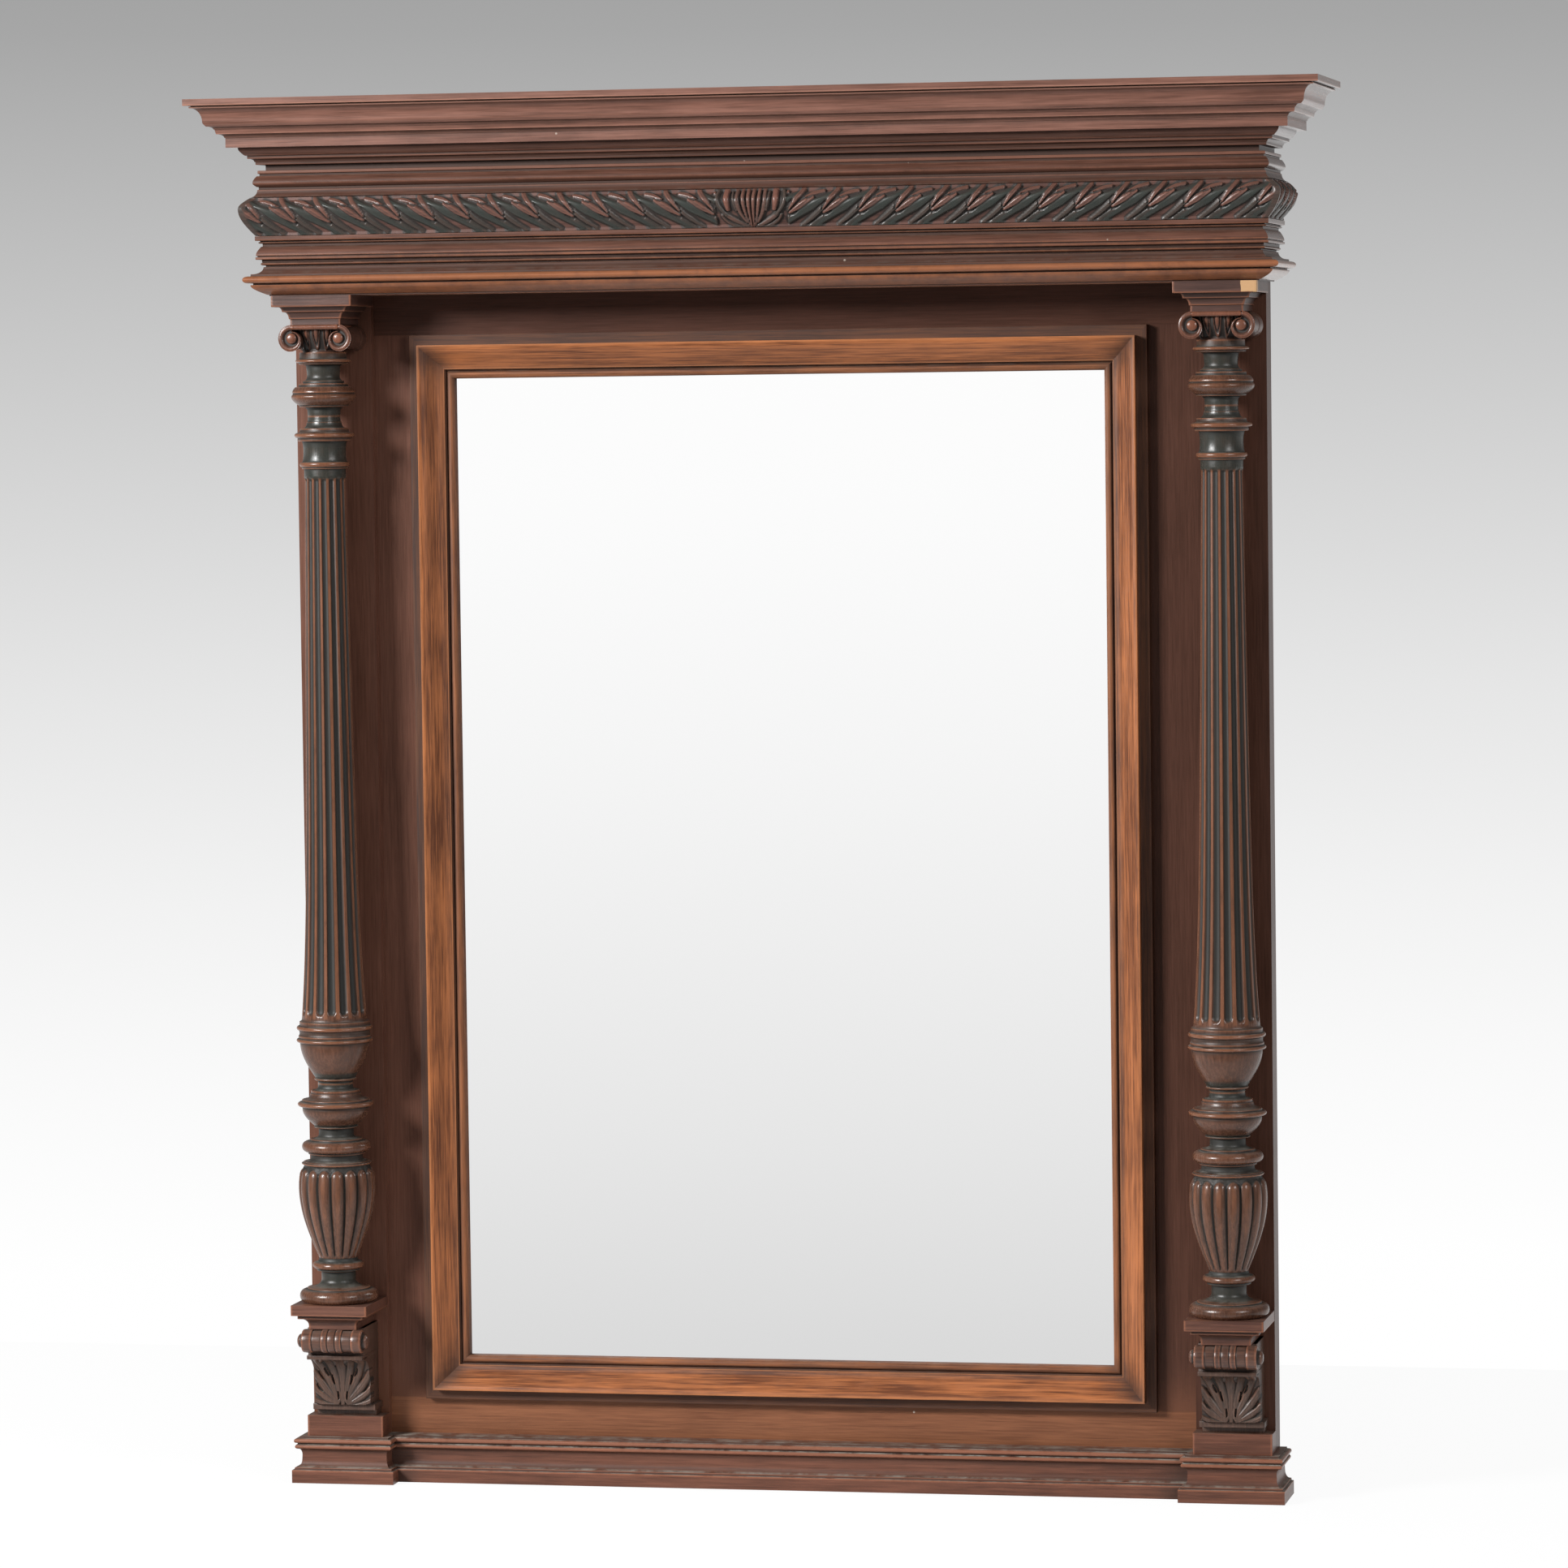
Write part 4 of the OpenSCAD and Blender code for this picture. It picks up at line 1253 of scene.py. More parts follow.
@dataclass
class MirrorFrame:
    """Mirror plate and the four mitred members of its moulding."""

    finishes: FinishBox
    sight_x: float = 426.5
    sight_low: float = 164.0
    sight_high: float = 1440.5
    width: float = 57.0
    arris_w: float = 43.5
    rebate_w: float = 9.0
    plate_q: float = 24.0
    back_q: float = 14.0
    bead_w: float = 10.5
    quirk_w: float = 1.5
    face_q: float = 37.0
    arris_q: float = 58.0
    fillet_q: float = 43.0
    quirk_deep: float = 9.0
    bead_base: float = 5.0
    rings: int = 60
    mitre_dirt: float = 0.75

    def section(self) -> Array:
        """Outline of a member, as distance from the sight edge and from the wall."""
        half, base = self.bead_w / 2, self.plate_q + self.bead_base
        turn = np.linspace(0, math.pi, 13)
        bead = np.column_stack([half * (1 - np.cos(turn)), base + half * np.sin(turn)])
        share = np.linspace(0, 1, 25)
        start = self.bead_w + self.quirk_w
        rise = (self.arris_q - self.face_q) * (1 - np.cos(math.pi * share)) / 2
        face = np.column_stack([start + share * (self.arris_w - start), self.face_q + rise])
        corners = [(self.arris_w, self.fillet_q), (self.width, self.fillet_q),
                   (self.width, self.back_q), (self.rebate_w, self.back_q),
                   (self.rebate_w, self.plate_q)]
        quirk = [(x, self.plate_q + self.quirk_deep) for x in (self.bead_w, start)]
        listed = np.vstack([[(0, self.plate_q)], bead, quirk, face, corners])
        return eased(listed, 0.8)[::-1]

    def build(self) -> None:
        """Builds the members and silvers the plate."""
        points = self.section()
        upright = Walnut(
            "frame_walnut_upright", Grain.UPRIGHT, light=(0.32, 0.11, 0.038),
            dark=(0.095, 0.031, 0.013), worn=(0.36, 0.14, 0.055), hollow=(0.028, 0.014, 0.01),
            figure_share=1.2, wear_share=0.45, grime_share=0.8, dust_share=0.2, specular=0.25,
        )
        level = replace(upright, name="frame_walnut_level", grain=Grain.ACROSS)
        tall = self.sight_high - self.sight_low
        for side in Side:
            def placing(share: Array, width: Array, out: Array, side: Side = side) -> Array:
                """Places an upright member between its mitres."""
                x = side.value * (self.sight_x + width)
                return world_places(x, out, self.sight_low - width + share * (tall + 2 * width))

            self._member(points, placing, f"frame_moulding_{side.word}", upright)
        for name, sight, up in (("top", self.sight_high, 1), ("bottom", self.sight_low, -1)):
            def placing(
                share: Array, width: Array, out: Array, sight: float = sight, up: int = up
            ) -> Array:
                """Places a level member between its mitres."""
                x = (2 * share - 1) * (self.sight_x + width)
                return world_places(x, out, sight + up * width)

            self._member(points, placing, f"frame_moulding_{name}", level)
        dress("mirror_plate", self.finishes.get(Silvering()))

    def _member(self, points: Array, placing: Placing, node: str, finish: Walnut) -> None:
        """Builds one member of the moulding.

        Args:
            points: its section.
            placing: rule that places it.
            node: CAD node that it stands for.
            finish: its finish.
        """
        marks = profile_marks(points)
        reach = points[:, 0] / self.arris_w
        # grime and painted shade: half a mark over the bead and quirk by the glass, and a full
        # dark mark on the outer fillet past the arris, which stands for the shadow it lies in
        shade_and_soil = 0.5 * (1 - eased_step(reach, 0.3, 0.62)) + eased_step(reach, 1.0, 1.04)
        marks[:, 1] = np.maximum(marks[:, 1], shade_and_soil)
        marks[:, 0] *= 1 - 0.8 * eased_step(reach, 1.01, 1.05)
        bar = swept(points, mitred_stations(self.rings), placing, None, marks, self.mitre_dirt)
        bar.piece(node, "moulded", self.finishes.get(finish), "frame_walnut")


def dress(node: str, material: bpy.types.Material) -> None:
    """Gives a CAD node a finish.

    Args:
        node: the node's name.
        material: its finish.
    """
    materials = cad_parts[node].data.materials
    materials.clear()
    materials.append(material)
    LOG.info("%s: dressed in %s", node, material.name)


@dataclass
class Carcass:
    """Stiles, rails, boards and ironwork that keep their CAD shapes."""

    finishes: FinishBox

    def dress(self) -> None:
        """Gives each CAD node its finish."""
        field_tones = dict(light=(0.15, 0.065, 0.043), dark=(0.08, 0.034, 0.022))
        # painted light: the lit bottom rail's tone, which the stiles' feet fade into
        rail = (0.12, 0.049, 0.028)
        # painted shade: darker tones for the top rail under the entablature and for the right-hand
        # stiles, which lie in shadow
        shaded = dict(light=(0.085, 0.036, 0.024), dark=(0.045, 0.019, 0.012))
        upright = Walnut(
            "field_walnut_upright", Grain.UPRIGHT, **field_tones, painted_light_foot=rail,
            figure_share=0.7, specular=0.12,
        )
        level = Walnut(
            "field_walnut_level", Grain.ACROSS, **shaded, figure_share=0.7, specular=0.12
        )
        base = Walnut(
            "base_walnut", Grain.ACROSS, light=(0.2, 0.08, 0.039), dark=(0.1, 0.038, 0.019),
            figure_share=0.8, speck_share=0.8, specular=0.15,
        )
        core = Walnut(
            "core_walnut", Grain.ACROSS, light=(0.16, 0.066, 0.044), dark=(0.066, 0.026, 0.017)
        )
        # painted light: pale tones that brighten the soffit's underside, which lies in shade
        soffit = Walnut(
            "soffit_walnut", Grain.ACROSS, light=(0.5, 0.24, 0.155), dark=(0.26, 0.12, 0.075),
            specular=0.15,
        )
        shadowed = replace(upright, name="field_walnut_shaded", **shaded)
        dim = replace(shadowed, name="stile_walnut_shaded", painted_light_foot=None)
        boards = {
            upright: ("outer_stile_left", "field_stile_left"),
            shadowed: ("field_stile_right",),
            dim: ("outer_stile_right",),
            level: ("field_top_rail",),
            base: ("field_bottom_rail",),
            core: ("entablature_front_board", "entablature_end_left", "entablature_end_right",
                   "top_board"),
            soffit: ("soffit_board",),
            Deal(): ("backboard_1", "backboard_2", "backboard_3", "backboard_4",
                     "mirror_wedges"),
            Iron(): ("hanging_plates", "screws"),
        }
        for finish, names in boards.items():
            for name in names:
                dress(name, self.finishes.get(finish))


@dataclass
class Plinth:
    """Block under a console with its moulding on three sides, and the base run between."""

    finishes: FinishBox
    inner_x: float = 534.0
    outer_x: float = 636.0
    front: float = 75.0
    run_front: float = 49.0
    carcass_t: float = 42.0
    height: float = 87.0
    field_t: float = 30.0
    rings: int = 8
    run_rings: int = 40
    mitre_dirt: float = 0.85
    moulding: Profile = Profile(
        (
            (FLAT, 17, 17.5, 17.5), (FLAT, 3, 14.5, 14.5), (COVE, 10, 12.5, 6.3),
            (FLAT, 6, 6.3, 6), (COVE, 8, 6, 10), (ROLL, 6.5, 10, 14), (FLAT, 1.5, 11, 11),
            (ROLL, 6, 12, 15), (FLAT, 2, 9, 9),
        )
    )

    def __post_init__(self) -> None:
        """Chooses the finishes."""
        tones = dict(
            light=(0.13, 0.05, 0.03), dark=(0.06, 0.023, 0.014), worn=(0.26, 0.1, 0.055),
            dust=(0.3, 0.28, 0.24), dust_share=0.75, specular=0.25,
        )
        self.level = self.finishes.get(
            Walnut("plinth_walnut", Grain.ACROSS, **tones, speck_share=0.9)
        )
        self.outward = self.finishes.get(Walnut("plinth_return_walnut", Grain.OUTWARDS, **tones))

    def build_side(self, side: Side) -> None:
        """Builds one plinth.

        Args:
            side: half of the mirror.
        """
        middle = (self.inner_x + self.outer_x) / 2
        half = (self.outer_x - self.inner_x) / 2
        points = self.moulding.points()

        def front(share: Array, out: Array, up: Array) -> Array:
            """Places the front run."""
            x = middle + (2 * share - 1) * (half + out)
            return world_places(side.value * x, self.front + out, up)

        def outer(share: Array, out: Array, up: Array) -> Array:
            """Places the outer return, from the wall to its mitre."""
            x = side.value * (self.outer_x + out)
            return world_places(x, share * (self.front + out), up)

        def inner(share: Array, out: Array, up: Array) -> Array:
            """Places the inner return, from the base run to its mitre."""
            q = self.run_front + out + share * (self.front - self.run_front)
            return world_places(side.value * (self.inner_x - out), q, up)

        for part, placing, finish in (
            ("front", front, self.level),
            ("outer", outer, self.outward),
            ("inner", inner, self.outward),
        ):
            bar = swept(points, mitred_stations(self.rings, 0.004), placing, 0.0)
            bar.piece(f"plinth_moulding_{side.word}_{part}", "moulded", finish)
        outline = [(0, 0), (0, self.height)]
        block = boxed((side.value * middle, half), (self.carcass_t, self.front), outline)
        block.piece(f"plinth_block_{side.word}", "eased", self.level)

    def build_run(self) -> None:
        """Builds the base moulding between the plinths."""

        def placing(share: Array, out: Array, up: Array) -> Array:
            """Places the run between its two inner mitres."""
            x = (2 * share - 1) * (self.inner_x - out)
            return world_places(x, self.run_front + out, up)

        back = self.field_t - self.run_front
        stations = mitred_stations(self.run_rings)
        bar = swept(self.moulding.points(), stations, placing, back, None, self.mitre_dirt)
        bar.piece("base_moulding_centre", "moulded", self.level)


def boxed(
    across: tuple[float, float], depth: tuple[float, float], outline: Sequence[tuple[float, float]]
) -> Blank:
    """Makes a block or a stepped bracket that is the same on its front and sides.

    Args:
        across: its middle and half width.
        depth: where its back and front lie, out from the wall.
        outline: projection over the half width and front, and height, from the bottom up.

    Returns:
        The closed solid.
    """
    points = eased(np.array(outline, float), 0.8)
    round_r, guard, edge_wear = 1.0, 3.0, 0.9
    middle, half = across
    back, front = depth
    blank = Blank()
    rings = []
    for (out, up), mark in zip(points, profile_marks(points)):
        reach, face = half + out, front + out
        inner = max(reach - round_r, 0.1)
        plan = [(-reach, back, 0.0), (-reach, face - round_r - guard, 0.0)]
        for turn in np.linspace(0, math.pi / 2, 4):
            x, q = -inner - round_r * math.cos(turn), face - round_r + round_r * math.sin(turn)
            plan.append((x, q, edge_wear))
        plan.append((-inner + guard, face, 0.0))
        plan += [(-x, q, wear) for x, q, wear in reversed(plan)]
        places = np.array([world_places(middle + x, q, up) for x, q, _ in plan])
        edge = [(max(mark[0], wear), mark[1]) for _, _, wear in plan]
        rings.append(blank.chain(places, np.array(edge), True))
    for lower, upper in zip(rings, rings[1:]):
        edges = [blank.bm.edges.get((a, b)) for ring in (lower, upper)
                 for a, b in zip(ring, ring[1:] + ring[:1])]
        bmesh.ops.bridge_loops(blank.bm, edges=edges)
    blank.cap()
    return blank


@dataclass
class Console:
    """Carved console with its scroll roll and the moulded shelf over it."""

    finishes: FinishBox
    side: Side
    x: float = 585.0
    carcass_t: float = 42.0
    low: float = 87.0
    foot_top: float = 95.5
    leaf_low: float = 103.5
    lip_low: float = 167.5
    lip_high: float = 173.0
    top: float = 208.5
    foot_q: float = 66.0
    foot_half_w: float = 40.0
    fillet_q: float = 78.5
    fillet_half_w: float = 42.0
    leaf_q: float = 86.0
    lip_q: float = 121.0
    half_w: float = 37.5
    upright_share: float = 0.4
    carving_depth: float = 4.2
    leaf_back: float = 16.0
    roll_q: float = 125.5
    roll_z: float = 193.0
    roll_r: float = 15.5
    roll_half_w: float = 40.0
    button_r: float = 9.0
    button_l: float = 7.5
    seat_q: float = 116.0
    bands: tuple[tuple[float, bool], ...] = (
        (15, True), (13, False), (9.5, True), (11, True), (9.5, True), (13, False), (15, True)
    )
    ring_h: float = 1.6
    groove_depth: float = 1.9
    groove_h: float = 0.2
    column_q: float = 93.5
    shelf: Profile = Profile(
        ((FLAT, 5.5, 32, 32), (COVE, 9, 32, 42), (FLAT, 5, 43.7, 43.7), (FLAT, 13.5, 50.7, 50.7))
    )
    shelf_overhang: float = 2.8
    leaf: tuple[Gouge, ...] = (
        Gouge(((0, -2), (0, 28), (0, 62)), (3.0, 4.6, 8.5), 3.4, 0.1, 0.7),
        Gouge(((4, 6), (8.5, 34), (17, 62)), (3.0, 5.0, 5.0), 3.9, 0.25, 0.6),
        Gouge(((5, 5), (17, 30), (30, 58)), (3.0, 5.6, 4.6), 4.2, 0.2, 0.6),
        Gouge(((6, 3), (23, 21), (37, 42)), (3.0, 5.8, 4.2), 4.2, 0.15, 0.6),
        Gouge(((7, 1), (23, 9), (38, 22)), (2.6, 5.0, 4.2), 4.0, 0.1, 0.6),
        Gouge(((8, -1), (23, 0), (38, 6)), (2.2, 3.6, 3.4), 3.6, 0.1, 0.5),
        Gouge(((21, 62), (24, 59), (27, 55)), (2.4, 2.6, 1.6), 3.6, 0.2),
        Gouge(((5.6, 7), (5.8, 12), (6.2, 17)), (0.9, 1.5, 0.8), -3.2),
        Gouge(((10.5, 27), (12.5, 33), (12.8, 39)), (0.9, 1.6, 0.9), -3.4),
        Gouge(((7.5, 51), (6.5, 55), (7, 60)), (0.8, 1.5, 0.8), -3.0),
        Gouge(((17.5, 38), (20.5, 43), (22, 48)), (0.9, 1.7, 0.9), -3.4),
        Gouge(((25.5, 33), (28.5, 38), (31, 43)), (0.9, 1.5, 0.9), -3.0),
        Gouge(((27, 17), (31, 20), (34.5, 26)), (0.8, 1.3, 0.8), -2.6),
    )

    def build(self) -> None:
        """Builds the console, the roll and the shelf."""
        carved = self.finishes.get(
            Walnut(
                "console_walnut", Grain.UPRIGHT, light=(0.085, 0.045, 0.031),
                dark=(0.038, 0.02, 0.014), worn=(0.15, 0.07, 0.045), black=(0.03, 0.027, 0.021),
                hollow=(0.014, 0.011, 0.009), dust=(0.3, 0.28, 0.24), dust_share=0.5,
                wear_share=0.4, grime_share=0.95, roughness=0.36, specular=0.35,
            )
        )
        self._console(carved)
        self._roll()
        depth = self.carcass_t, self.column_q + self.shelf_overhang
        shelf = boxed((self.side.value * self.x, 0.0), depth, self.shelf.points(self.top))
        tones = dict(light=(0.13, 0.055, 0.036), dark=(0.055, 0.023, 0.016))
        finish = self.finishes.get(Walnut("shelf_walnut", Grain.ACROSS, **tones))
        shelf.piece(f"shelf_{self.side.word}", "moulded", finish)

    def _sweep(self, share: Array) -> tuple[Array, Array]:
        """Places the leaf's front, from its foot up to the lip.

        Args:
            share: share of the height.

        Returns:
            Distance from the wall and height.
        """
        t = np.clip((share - self.upright_share) / (1 - self.upright_share), 0, 1)
        angle = np.arcsin(t)
        q = self.leaf_q + (self.lip_q - self.leaf_q) * (1 - np.cos(angle))
        return q, self.leaf_low + (self.lip_low - self.leaf_low) * share

    def _console(self, finish: bpy.types.Material) -> None:
        """Builds the body of the console and its carved leaf.

        Args:
            finish: its material.
        """
        sign = self.side.value
        tall = self.lip_low - self.leaf_low

        def placing(across: Array, up: Array) -> tuple[Array, Array]:
            """Places and marks the leaf.

            Args:
                across: share of the console's width.
                up: share of the leaf's height.

            Returns:
                Places in metres, and their wear, grime with painted shade, and patina.
            """
            x = (2 * across - 1) * self.half_w
            q, z = self._sweep(up)
            height, patina = carve(self.leaf, np.abs(x), up * tall)
            run_q, run_z = np.gradient(q, axis=0), np.gradient(z, axis=0)
            length = np.hypot(run_q, run_z)
            depth = self.carving_depth - height
            marks = carved_marks(height, patina, self.carving_depth)
            q, z = q - depth * run_z / length, z + depth * run_q / length * 0.5
            return world_places(sign * self.x + x, q, z), marks

        blank = carved_sheet(110, 96, placing)
        backed(blank, (0, self.leaf_back * MM, 0))
        q, z = self._sweep(np.linspace(0, 1, 20))
        core = [(self.carcass_t, self.leaf_low), *zip(q - self.carving_depth - 1.5, z)]
        core += [(self.lip_q - 6, self.lip_low), (self.lip_q - 6, self.top),
                 (self.carcass_t, self.top)]
        self._slab(blank, self.half_w - 0.4, core)
        back = self.carcass_t
        for half, front, low, high in (
            (self.half_w, self.lip_q, self.lip_low, self.lip_high),
            (self.half_w, self.seat_q - 4, self.lip_high, self.top),
            (self.foot_half_w, self.foot_q, self.low, self.foot_top),
            (self.fillet_half_w, self.fillet_q, self.foot_top, self.leaf_low),
        ):
            self._slab(blank, half, [(back, low), (front, low), (front, high), (back, high)])
        blank.piece(f"console_{self.side.word}", "carved", finish, "carved_walnut", 50.0)

    def _slab(self, blank: Blank, half: float, outline: Sequence[tuple[float, float]]) -> None:
        """Adds a slab with a given side outline and eased edges.

        Args:
            blank: mesh that it joins.
            half: half its width.
            outline: its side outline as distance from the wall and height.
        """
        start = self.side.value * self.x - half
        corners = [blank.bm.verts.new(world_places(start, q, z)) for q, z in outline]
        face = blank.bm.faces.new(corners)
        grown = bmesh.ops.extrude_face_region(blank.bm, geom=[face])["geom"]
        new = [item for item in grown if isinstance(item, bmesh.types.BMVert)]
        bmesh.ops.translate(blank.bm, verts=new, vec=(2 * half * MM, 0, 0))
        edges = {edge for vertex in corners + new for edge in vertex.link_edges}
        sharp = [edge for edge in edges if edge.calc_face_angle(0) > 0.6]
        bmesh.ops.bevel(
            blank.bm, geom=sharp, offset=0.7 * MM, segments=2, profile=0.5, affect="EDGES",
            material=-1, clamp_overlap=True,
        )

    def _roll(self) -> None:
        """Builds the banded roll with a button at each end."""
        total = sum(width for width, _ in self.bands)
        points: list[tuple[float, float]] = []
        place = -self.roll_half_w
        for width, raised in self.bands:
            width *= 2 * self.roll_half_w / total
            depth = self.ring_h if raised else self.groove_depth
            swell = self.ring_h if raised else self.groove_h
            for k in range(9):
                t = k / 8 * math.pi
                level = self.roll_r - depth + swell * math.sin(t) ** 0.6
                points.append((level, place + width * (1 - math.cos(t)) / 2))
            place += width
        end, radius, length = self.roll_half_w, self.button_r, self.button_l
        button = [(0.01, length), (radius * 0.55, length - 0.3), (radius * 0.9, length - 2.2),
                  (radius, length - 4.0), (radius, 0.0), (self.roll_r - 2.6, 0.0)]
        outline = [(r, -end - z) for r, z in button] + points
        outline += [(r, end + z) for r, z in reversed(button)]
        blank = spun(eased(np.array(outline), 0.5), 72)
        y, z, x = blank.places().T
        x += self.side.value * self.x
        blank.reshape(world_places(x, self.roll_q + y, self.roll_z + z))
        finish = self.finishes.get(
            Walnut(
                "roll_walnut", Grain.ACROSS, light=(0.1, 0.046, 0.03), dark=(0.042, 0.02, 0.014),
                worn=(0.24, 0.09, 0.047), hollow=(0.014, 0.011, 0.009), dust_share=0.5,
                grime_share=0.95, roughness=0.3, specular=0.4,
            )
        )
        blank.piece(f"scroll_roll_{self.side.word}", "turned", finish, crease=60.0)


@dataclass
class Column:
    """Turned column in three lengths, with its capital and abacus."""

    finishes: FinishBox
    side: Side
    x: float = 585.0
    q: float = 93.5
    low: float = 241.5
    shaft_z: float = 527.5
    flute_z: float = 612.0
    head_z: float = 1315.0
    neck_z: float = 1394.0
    capital_z: float = 1476.5
    abacus_z: float = 1512.0
    carcass_t: float = 42.0
    foot_r: float = 42.3
    top_r: float = 26.0
    flutes: int = 16
    flute_share: float = 0.35
    flute_depth: float = 0.713
    lobes: int = 16
    lobe_low: float = 299.5
    lobe_high: float = 417.0
    bulb_high: float = 424.0
    lobe_turn: float = 5.0
    lobe_depth: float = 4.6
    rib_gap: float = 1.7
    rib_w: float = 0.7
    rib_h: float = 1.6
    volute_r: float = 17.5
    volute_out: float = 31.0
    half_d: float = 40.0
    eye_r: float = 6.8
    eye_out: float = 1.5
    drum_r: float = 30.5
    band_h: float = 6.4
    rim_w: float = 6.2
    drum_tuck: float = 3.5
    drum_swell: float = 7.5
    eggs: int = 14
    egg_w: float = 0.46
    egg_tall: float = 0.6
    egg_h: float = 2.6
    shell_reach: float = 1.38
    shell_w: float = 0.2
    shell_h: float = 2.1
    drum_foot_h: float = 2.0
    drum_depth: float = 2.8
    waist_depth: float = 4.2
    waist_groove: float = 1.1
    groove_place: float = 0.55
    groove_w: float = 1.6
    volute_sink: float = 3.4
    volute_edge: float = 1.8
    volute_shrink: float = 0.48
    vase: Profile = Profile(
        (
            (ROLL, 16.5, 44, 51), (FLAT, 2.5, 41, 41), (COVE, 10.5, 39, 22.3),
            (FLAT, 10, 22.3, 22.3), (COVE, 1.5, 23, 27), (FLAT, 2.5, 28, 28),
            (ROLL, 9, 28.5, 33.5), (COVE, 5.5, 28, 24.9), (SWELL, 93, 25, 50),
            (CLOSE, 31.5, 50, 45.5), (FLAT, 1.5, 43.4, 43.4), (COVE, 5.5, 40, 33.6),
            (FLAT, 4, 33.6, 33.6), (FLAT, 3, 36.7, 36.7), (ROLL, 14, 38, 45),
            (FLAT, 3, 34.6, 34.6), (COVE, 6, 31, 22.7), (FLAT, 8, 22.7, 22.7),
            (ROLL, 3, 24, 28.9), (SWELL, 22, 28, 43.4), (FLAT, 3, 43.4, 43.4),
            (ROLL, 7, 44, 49.7), (FLAT, 2.5, 43.9, 43.9), (COVE, 8, 41, 33),
            (FLAT, 4, 32, 32), (COVE, 5.5, 28.4, 22.7), (FLAT, 3.5, 22.7, 22.7),
        )
    )
    shaft_foot: Profile = Profile(
        (
            (FLAT, 3.5, 22.7, 22.7), (ROLL, 4, 23.5, 27.4), (SWELL, 46, 26, 45),
            (ROLL, 6, 45, 49.7), (FLAT, 3, 46.9, 46.9), (ROLL, 7, 46.9, 45.5),
            (ROLL, 6, 46, 49.3), (FLAT, 5.5, 45.4, 45.4), (COVE, 3.5, 45.4, 42.3),
        )
    )
    shaft_head: Profile = Profile(
        (
            (FLAT, 11, 27, 27), (FLAT, 2.5, 29.6, 29.6), (ROLL, 6.5, 30, 32.6),
            (ROLL, 27, 29.6, 27.5), (FLAT, 4, 34, 34), (ROLL, 7, 34, 39),
            (COVE, 3, 34, 31.6), (FLAT, 2.5, 31.6, 31.6), (COVE, 8.5, 28, 22.4),
            (FLAT, 7, 21.4, 21),
        )
    )
    neck: Profile = Profile(
        (
            (FLAT, 9, 21, 21.5), (COVE, 3, 22.4, 28), (FLAT, 2.5, 31.6, 31.6),
            (SWELL, 10.5, 33, 42), (CLOSE, 4, 42, 40), (SWELL, 2, 39.6, 40.7),
            (CLOSE, 7, 40.7, 36.6), (FLAT, 4.5, 32, 32), (FLAT, 3, 26.5, 26.5),
            (COVE, 6.5, 26.5, 21), (FLAT, 12, 21, 22), (COVE, 3, 22, 28),
            (FLAT, 2, 31.5, 31.5), (ROLL, 5, 31.5, 36), (FLAT, 8.5, 30.5, 30.5),
        )
    )
    abacus: Profile = Profile(
        (
            (FLAT, 7.5, 33.5, 33.5), (COVE, 9, 35, 40), (COVE, 6.5, 42, 46.5),
            (FLAT, 14.5, 53.3, 53.3),
        )
    )
    abacus_overhang: float = 1.2
    chip: tuple[float, ...] = (0.6175, 0.66, -0.06, -0.02, 1.5355, 1.56)

    def build(self) -> None:
        """Builds the column from the shelf up."""
        turned = self.finishes.get(
            Walnut(
                "turned_walnut", Grain.UPRIGHT, light=(0.105, 0.045, 0.026),
                dark=(0.045, 0.02, 0.012), worn=(0.24, 0.092, 0.044), hollow=(0.011, 0.011, 0.009),
                black=(0.021, 0.026, 0.022), wear_share=0.42, dust_share=0.6, grime_share=0.95,
                roughness=0.27, specular=0.38,
            )
        )
        self._vase(turned)
        self._shaft(turned)
        neck = spun(self.neck.points(self.neck_z), 96)
        found, marks = neck.places(), neck.marks()
        marks[:, 2] = self._blackened(polar(found)[0])
        self._stand(neck, found, marks)
        neck.piece(f"column_neck_{self.side.word}", "turned", turned)
        self._capital()
        self._abacus()

    def _blackened(self, radius: Array) -> Array:
        """Patina that the slim parts of the turning have kept."""
        return 0.9 * (1 - eased_step(radius, 29.0, 31.5))

    def _stand(self, blank: Blank, places: Array, marks: Array | None) -> None:
        """Puts points that were made round the origin on the column's axis.

        Args:
            blank: the piece.
            places: its places in millimetres round the axis.
            marks: its marks, or None to keep them.
        """
        x = self.side.value * self.x + places[:, 0]
        blank.reshape(world_places(x, self.q - places[:, 1], places[:, 2]), marks)

    def _vase(self, finish: bpy.types.Material) -> None:
        """Builds the lowest length, with the gadrooned bulb.

        Args:
            finish: its material.
        """
        blank = spun(self.vase.points(self.low), 192)
        found, marks = blank.places(), blank.marks()
        radius, turn = polar(found)
        aside = np.abs(((turn - self.lobe_turn) / (360 / self.lobes)) % 1 - 0.5) * 2
        half = math.pi * radius / self.lobes
        z = found[:, 2]
        width = half * 0.9
        over = np.maximum(z - (self.lobe_high - width), 0)
        apart = np.hypot(aside * half, over)
        body = np.sqrt(np.clip(1 - (apart / np.maximum(width, 0.1)) ** 2, 0, 1))
        full = self.lobe_depth * np.clip(half / 9.0, 0.35, 1.0)
        ring = np.exp(-(((apart - width - self.rib_gap) / self.rib_w) ** 2)) * (over > 0)
        depth = full * (1 - body) - self.rib_h * ring
        inside = eased_step(z, self.lobe_low, self.lobe_low + 6)
        inside *= 1 - eased_step(z, self.bulb_high - 4, self.bulb_high - 1)
        bulb = (z > self.lobe_low) & (z < self.bulb_high) & (radius > 20)
        depth = np.where(bulb, depth * inside, 0)
        sink(found, radius, depth)
        crest = eased_step(body, 0.75, 1.0) * 0.55 + 0.4 * (ring > 0.6)
        marks[:, 0] = np.where(bulb, np.maximum(crest * inside, marks[:, 0]), marks[:, 0])
